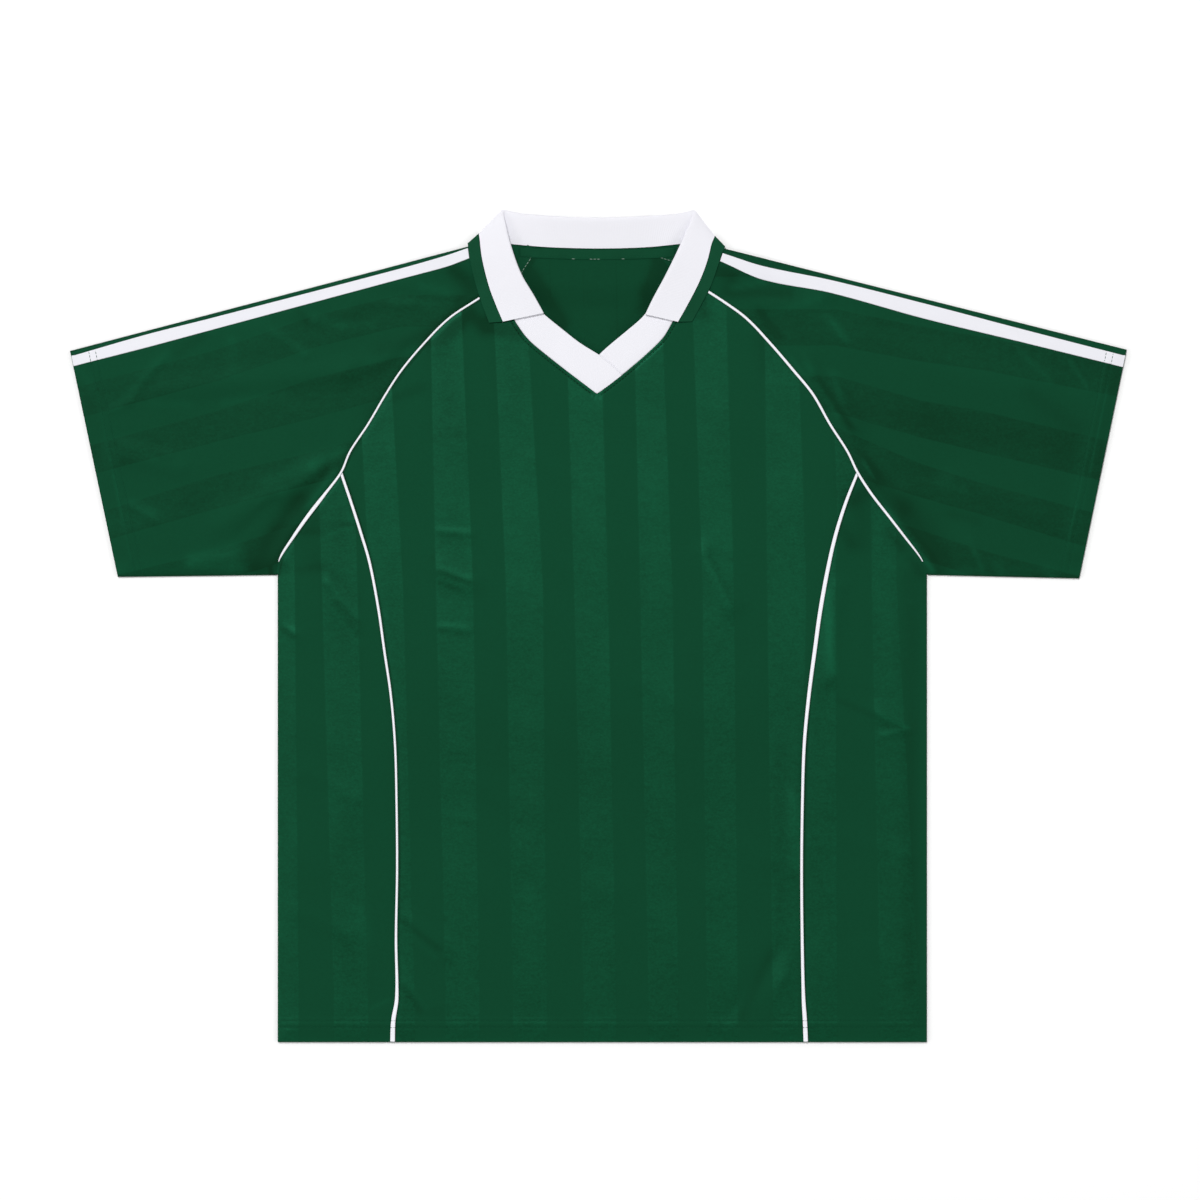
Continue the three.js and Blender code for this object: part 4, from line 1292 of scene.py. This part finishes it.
def make_collar():
    spot = np.linspace(0, len(COLLAR) - 1, 8 * (len(COLLAR) - 1) + 1)
    lines = collar_lines(spot)
    neck, roll, white, outer = (lines[name] for name in ("neck", "roll", "white", "outer"))
    turn = np.radians(np.interp(spot, np.arange(len(COLLAR)), [row[9] for row in COLLAR]))[:, None]
    rise = unit((roll - neck) * (1, 1, 0))
    aside = np.stack([-rise[:, 1], rise[:, 0], 0 * rise[:, 0]], -1) * np.where(rise[:, :1] > 0, 1, -1)
    side = np.cos(turn) * (0, 0, 1) + np.sin(turn) * aside
    radius = (ROLL * np.interp(np.minimum(spot, len(COLLAR) - 1 - spot), (0, 3), (0.5, 1)))[:, None]
    centre = roll - rise * (radius + 0.45) + side * radius
    stand = [mix(neck, centre - side * radius, part) for part in (0, 0.03, 0.1, 0.3, 0.5, 0.7, 0.9)]
    bend = [centre + radius * (rise * math.cos(angle) + side * math.sin(angle))
            for angle in np.radians(np.linspace(-90, 90, 9))]
    fall = [mix(bend[-1], white, part) for part in (0.1, 0.25, 0.4, 0.55, 0.7, 0.85, 0.95, 0.99, 1)]
    cloth("Collar", ["collar"], [with_length(np.stack(stand + bend + fall, 1))], WHITE_RIB,
          {"along": 3}, thickness=0.9, offset=0)
    start = white + (outer - white) * (0.45 / np.linalg.norm(outer - white, axis=1))[:, None]
    edge = [mix(start, outer, part) for part in (0, 0.03, 0.1, 0.3, 0.5, 0.7, 0.9, 0.97, 1)]
    cloth("Collar_Edge", ["collar_trim"], [with_length(np.stack(edge, 1))], GREEN_RIB,
          {"along": 3}, thickness=1.0, offset=0)


make_collar()


# Stitching
STITCH = 2.6
STITCH_GAP = 0.8
THREAD = 0.26
OUT_OF_CLOTH = 0.12
UNDER_CLOTH = 0.02


def stitches(points):
    """Small rounded stitches along a line of points, as corners and faces."""
    points = np.asarray(points, float)
    run = run_along(points)
    pitch = STITCH + STITCH_GAP
    starts = np.arange(0.5 * STITCH_GAP, run[-1] - STITCH, pitch)
    profile = [(0.0, 0.35), (0.12, 0.85), (0.5, 1.0), (0.88, 0.85), (1.0, 0.35)]
    corners, faces = [], []
    for start in starts:
        low = np.array([np.interp(start, run, points[:, axis]) for axis in range(3)])
        high = np.array([np.interp(start + STITCH, run, points[:, axis]) for axis in range(3)])
        forward = unit(high - low)
        aside = unit(np.cross(forward, (0, 0, 1)))
        above = np.cross(aside, forward)
        first = len(corners)
        for part, radius in profile:
            sag = 0.16 * (2 * part - 1) ** 2
            middle = mix(low, high, part) - above * sag
            for turn in np.arange(6) * math.pi / 3:
                spoke = aside * math.cos(turn) + above * math.sin(turn)
                corners.append(middle + THREAD * radius * spoke)
        for ring in range(len(profile) - 1):
            for corner in range(6):
                here, after = first + 6 * ring + corner, first + 6 * ring + (corner + 1) % 6
                faces.append((here, here + 6, after + 6, after))
        faces.append(tuple(first + corner for corner in range(6)))
        faces.append(tuple(first + 6 * len(profile) - 1 - corner for corner in range(6)))
    return np.array(corners), faces


def make_stitching(name, lines, look):
    points, faces, count = [], [], 0
    for line in lines:
        corners, rings = stitches(line)
        points.append(corners)
        faces += [tuple(corner + count for corner in face) for face in rings]
        count += len(corners)
    piece = mesh_piece(name, np.concatenate(points), faces, look)
    only(piece)
    bpy.ops.object.shade_smooth_by_angle(angle=math.radians(60))
    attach(piece, "root")


def straight(start, end, step=3.0):
    count = max(2, round(math.hypot(end[0] - start[0], end[1] - start[1]) / step))
    part = np.linspace(0, 1, count)
    return mix(start[0], end[0], part), mix(start[1], end[1], part)


CROSSING_REACH = 3.4
PIPING_HALF = 2.15


def piping_crossed():
    """The hem's stitches where they cross the side seams' piping."""
    lines = []
    for side in SIDES:
        for up in HEM_LINES:
            middle = through(side["panel"], up)
            x, y = straight((middle - CROSSING_REACH, up), (middle + CROSSING_REACH, up), step=0.4)
            crest = PIPING_CREST * np.sqrt(np.clip(1 - ((x - middle) / PIPING_HALF) ** 2, 0, 1))
            lines.append(np.stack([x, y, front_top(x, y) + 0.45 + crest], -1))
    return lines


def on_hem(x, y):
    return np.stack([x, y, front_top(x, y) + hem_shape(y, HEM_LINES) + OUT_OF_CLOTH], -1)


def hem_stitches():
    """Twin lines along the hem of each front panel, up to the piping, and along the back's."""
    left, right = LEFT["edge"] + 2, RIGHT["edge"] - 2
    lines = []
    for up in HEM_LINES:
        for start, end in ((left, -192), (-187, 188), (193, right)):
            lines.append(on_hem(*straight((start, up), (end, up))))
        x, y = straight((left, up), (right, up))
        lines.append(np.stack([x, y, back_under(x, y) - UNDER_CLOTH], -1))
    return lines


def over_stripe(side, x, y):
    """How much higher the cloth is where the sleeve's white stripe lies on it."""
    rows = sorted(side["stripe"])
    bottom, top = through(rows, x, 2), through(rows, x, 1)
    return 1.0 * ((y > bottom) & (y < top))


def cuff_stitches(side):
    """Twin lines beside the cuff, each from the arm's underside to the fold at its top."""
    bottom, top = np.array(side["cuff_bottom"]), np.array(side["cuff_top"])
    up = unit(top - bottom)
    inward = np.array([-side["hand"] * up[1], side["hand"] * up[0]])
    shoulder = swapped(side["neck"])[-1]
    lines = []
    for inset in side["cuff_lines"]:
        x, y = straight(bottom + inward * inset - up * 10, top + inward * inset + up * 12, step=1.5)
        low = np.interp(abs(x), (abs(side["edge"]), abs(bottom[0])), (UNDERARM, bottom[1]))
        high = mix(top[1], shoulder[1], (x - top[0]) / (shoulder[0] - top[0]))
        inside = (y > low + 2) & (y < high - 2)
        x, y = x[inside], y[inside]
        raised = sleeve_top(side, x, y) + over_stripe(side, x, y)
        lines.append(np.stack([x, y, raised + OUT_OF_CLOTH], -1))
        lines.append(np.stack([x, y, back_under(x, y) - UNDER_CLOTH], -1))
    return lines


def neck_stitches():
    """The seam's allowance is held down by a line of stitches beside the V."""
    lines = []
    for side in SIDES:
        ups = np.linspace(TIP + 3.2, 676, 40)
        centre = np.stack([through(side["neck"], ups), ups], -1)
        x, y = ribbon(centre, np.array([side["hand"] * WELT]))
        x, y = x[:, 0], y[:, 0]
        lines.append(np.stack([x, y, front_top(x, y) + neck_welt(x, y) + OUT_OF_CLOTH], -1))
    return lines


LOOSE_STITCHES = [(-25, -19), (-8.5, 3), (21, 26)]


def tape_line(start, end, above):
    """A line of stitches along the neck tape, this far above its lower edge."""
    x = np.linspace(start, end, 40)
    y = tape_bottom(x) + above
    return np.stack([x, y, back_under(x, y) + TAPE_RISE + 0.05], -1)


def allowance_lines():
    """Pale thread along the allowances' edges."""
    (right_start, right_end, _), (left_start, left_end, _) = ALLOWANCES["Right"], ALLOWANCES["Left"]
    left_start = mix(np.array(left_start), np.array(left_end), 0.3)
    lines = []
    for start, end in ((right_start, right_end), (left_start, left_end)):
        x, y = straight(start, end, step=2)
        lines.append(on_back(x, y + 0.4, 0.4))
    return lines


make_stitching("Hem_Stitches", hem_stitches(), GREEN_THREAD)
for side in SIDES:
    make_stitching(f"Cuff_Stitches_{side['name']}", cuff_stitches(side), GREEN_THREAD)
make_stitching("Piping_Stitches", piping_crossed(), GREEN_THREAD)
# The stitches beside the V, their thread darkened as painted shadow of their groove
make_stitching("Neck_Stitches", neck_stitches(), THREAD_WITH_PAINTED_GROOVE_SHADE)
make_stitching("Tape_Stitches", [tape_line(-68, 66, 2.0)], GREEN_THREAD)
loose_lines = [tape_line(*ends, 0.5) for ends in LOOSE_STITCHES]
make_stitching("Tape_Loose_Stitches", loose_lines, PALE_THREAD)
make_stitching("Allowance_Stitches", allowance_lines(), PALE_THREAD)


# Floor, light and finish
def make_floor():
    look = Look("Floor")
    grain = look.noise(look.place, 3, 1)
    colour = look.mixed(grain, (0.98, 0.98, 0.98, 1), (1, 1, 1, 1))
    sockets = {"Base Color": colour, "Roughness": 0.9, "Specular IOR Level": 0.1}
    look.node_output(look.node("ShaderNodeBsdfPrincipled", {}, sockets))
    bpy.ops.mesh.primitive_plane_add(size=30, location=(0, 0, -0.0006))
    floor = bpy.context.active_object
    floor.name = "Floor"
    bpy.ops.object.transform_apply(location=True, rotation=False, scale=False)
    floor.data.materials.append(look.material)


def make_lamp(name, place, size, power):
    data = bpy.data.lights.new(name, "AREA")
    data.shape = "DISK"
    data.size = size
    data.energy = power
    lamp = bpy.data.objects.new(name, data)
    lamp.location = place
    aim = -np.array(place, float)
    tilt = math.atan2(math.hypot(aim[0], aim[1]), -aim[2])
    lamp.rotation_euler = (tilt, 0, math.atan2(aim[1], aim[0]) - math.pi / 2)
    bpy.context.scene.collection.objects.link(lamp)


def make_air(strength):
    world = bpy.data.worlds.new("Studio")
    world.use_nodes = True
    world.node_tree.nodes["Background"].inputs["Color"].default_value = (1, 1, 1, 1)
    world.node_tree.nodes["Background"].inputs["Strength"].default_value = strength
    bpy.context.scene.world = world


make_floor()
make_lamp("Key", (-1.5, 3.2, 7.2), 1.3, 330)
make_lamp("Fill_Left", (-6, -1.5, 4), 2.5, 79)
make_lamp("Fill_Right", (6, -1, 4), 2.5, 69)
make_air(0.45)
bpy.context.scene.view_settings.view_transform = "Standard"
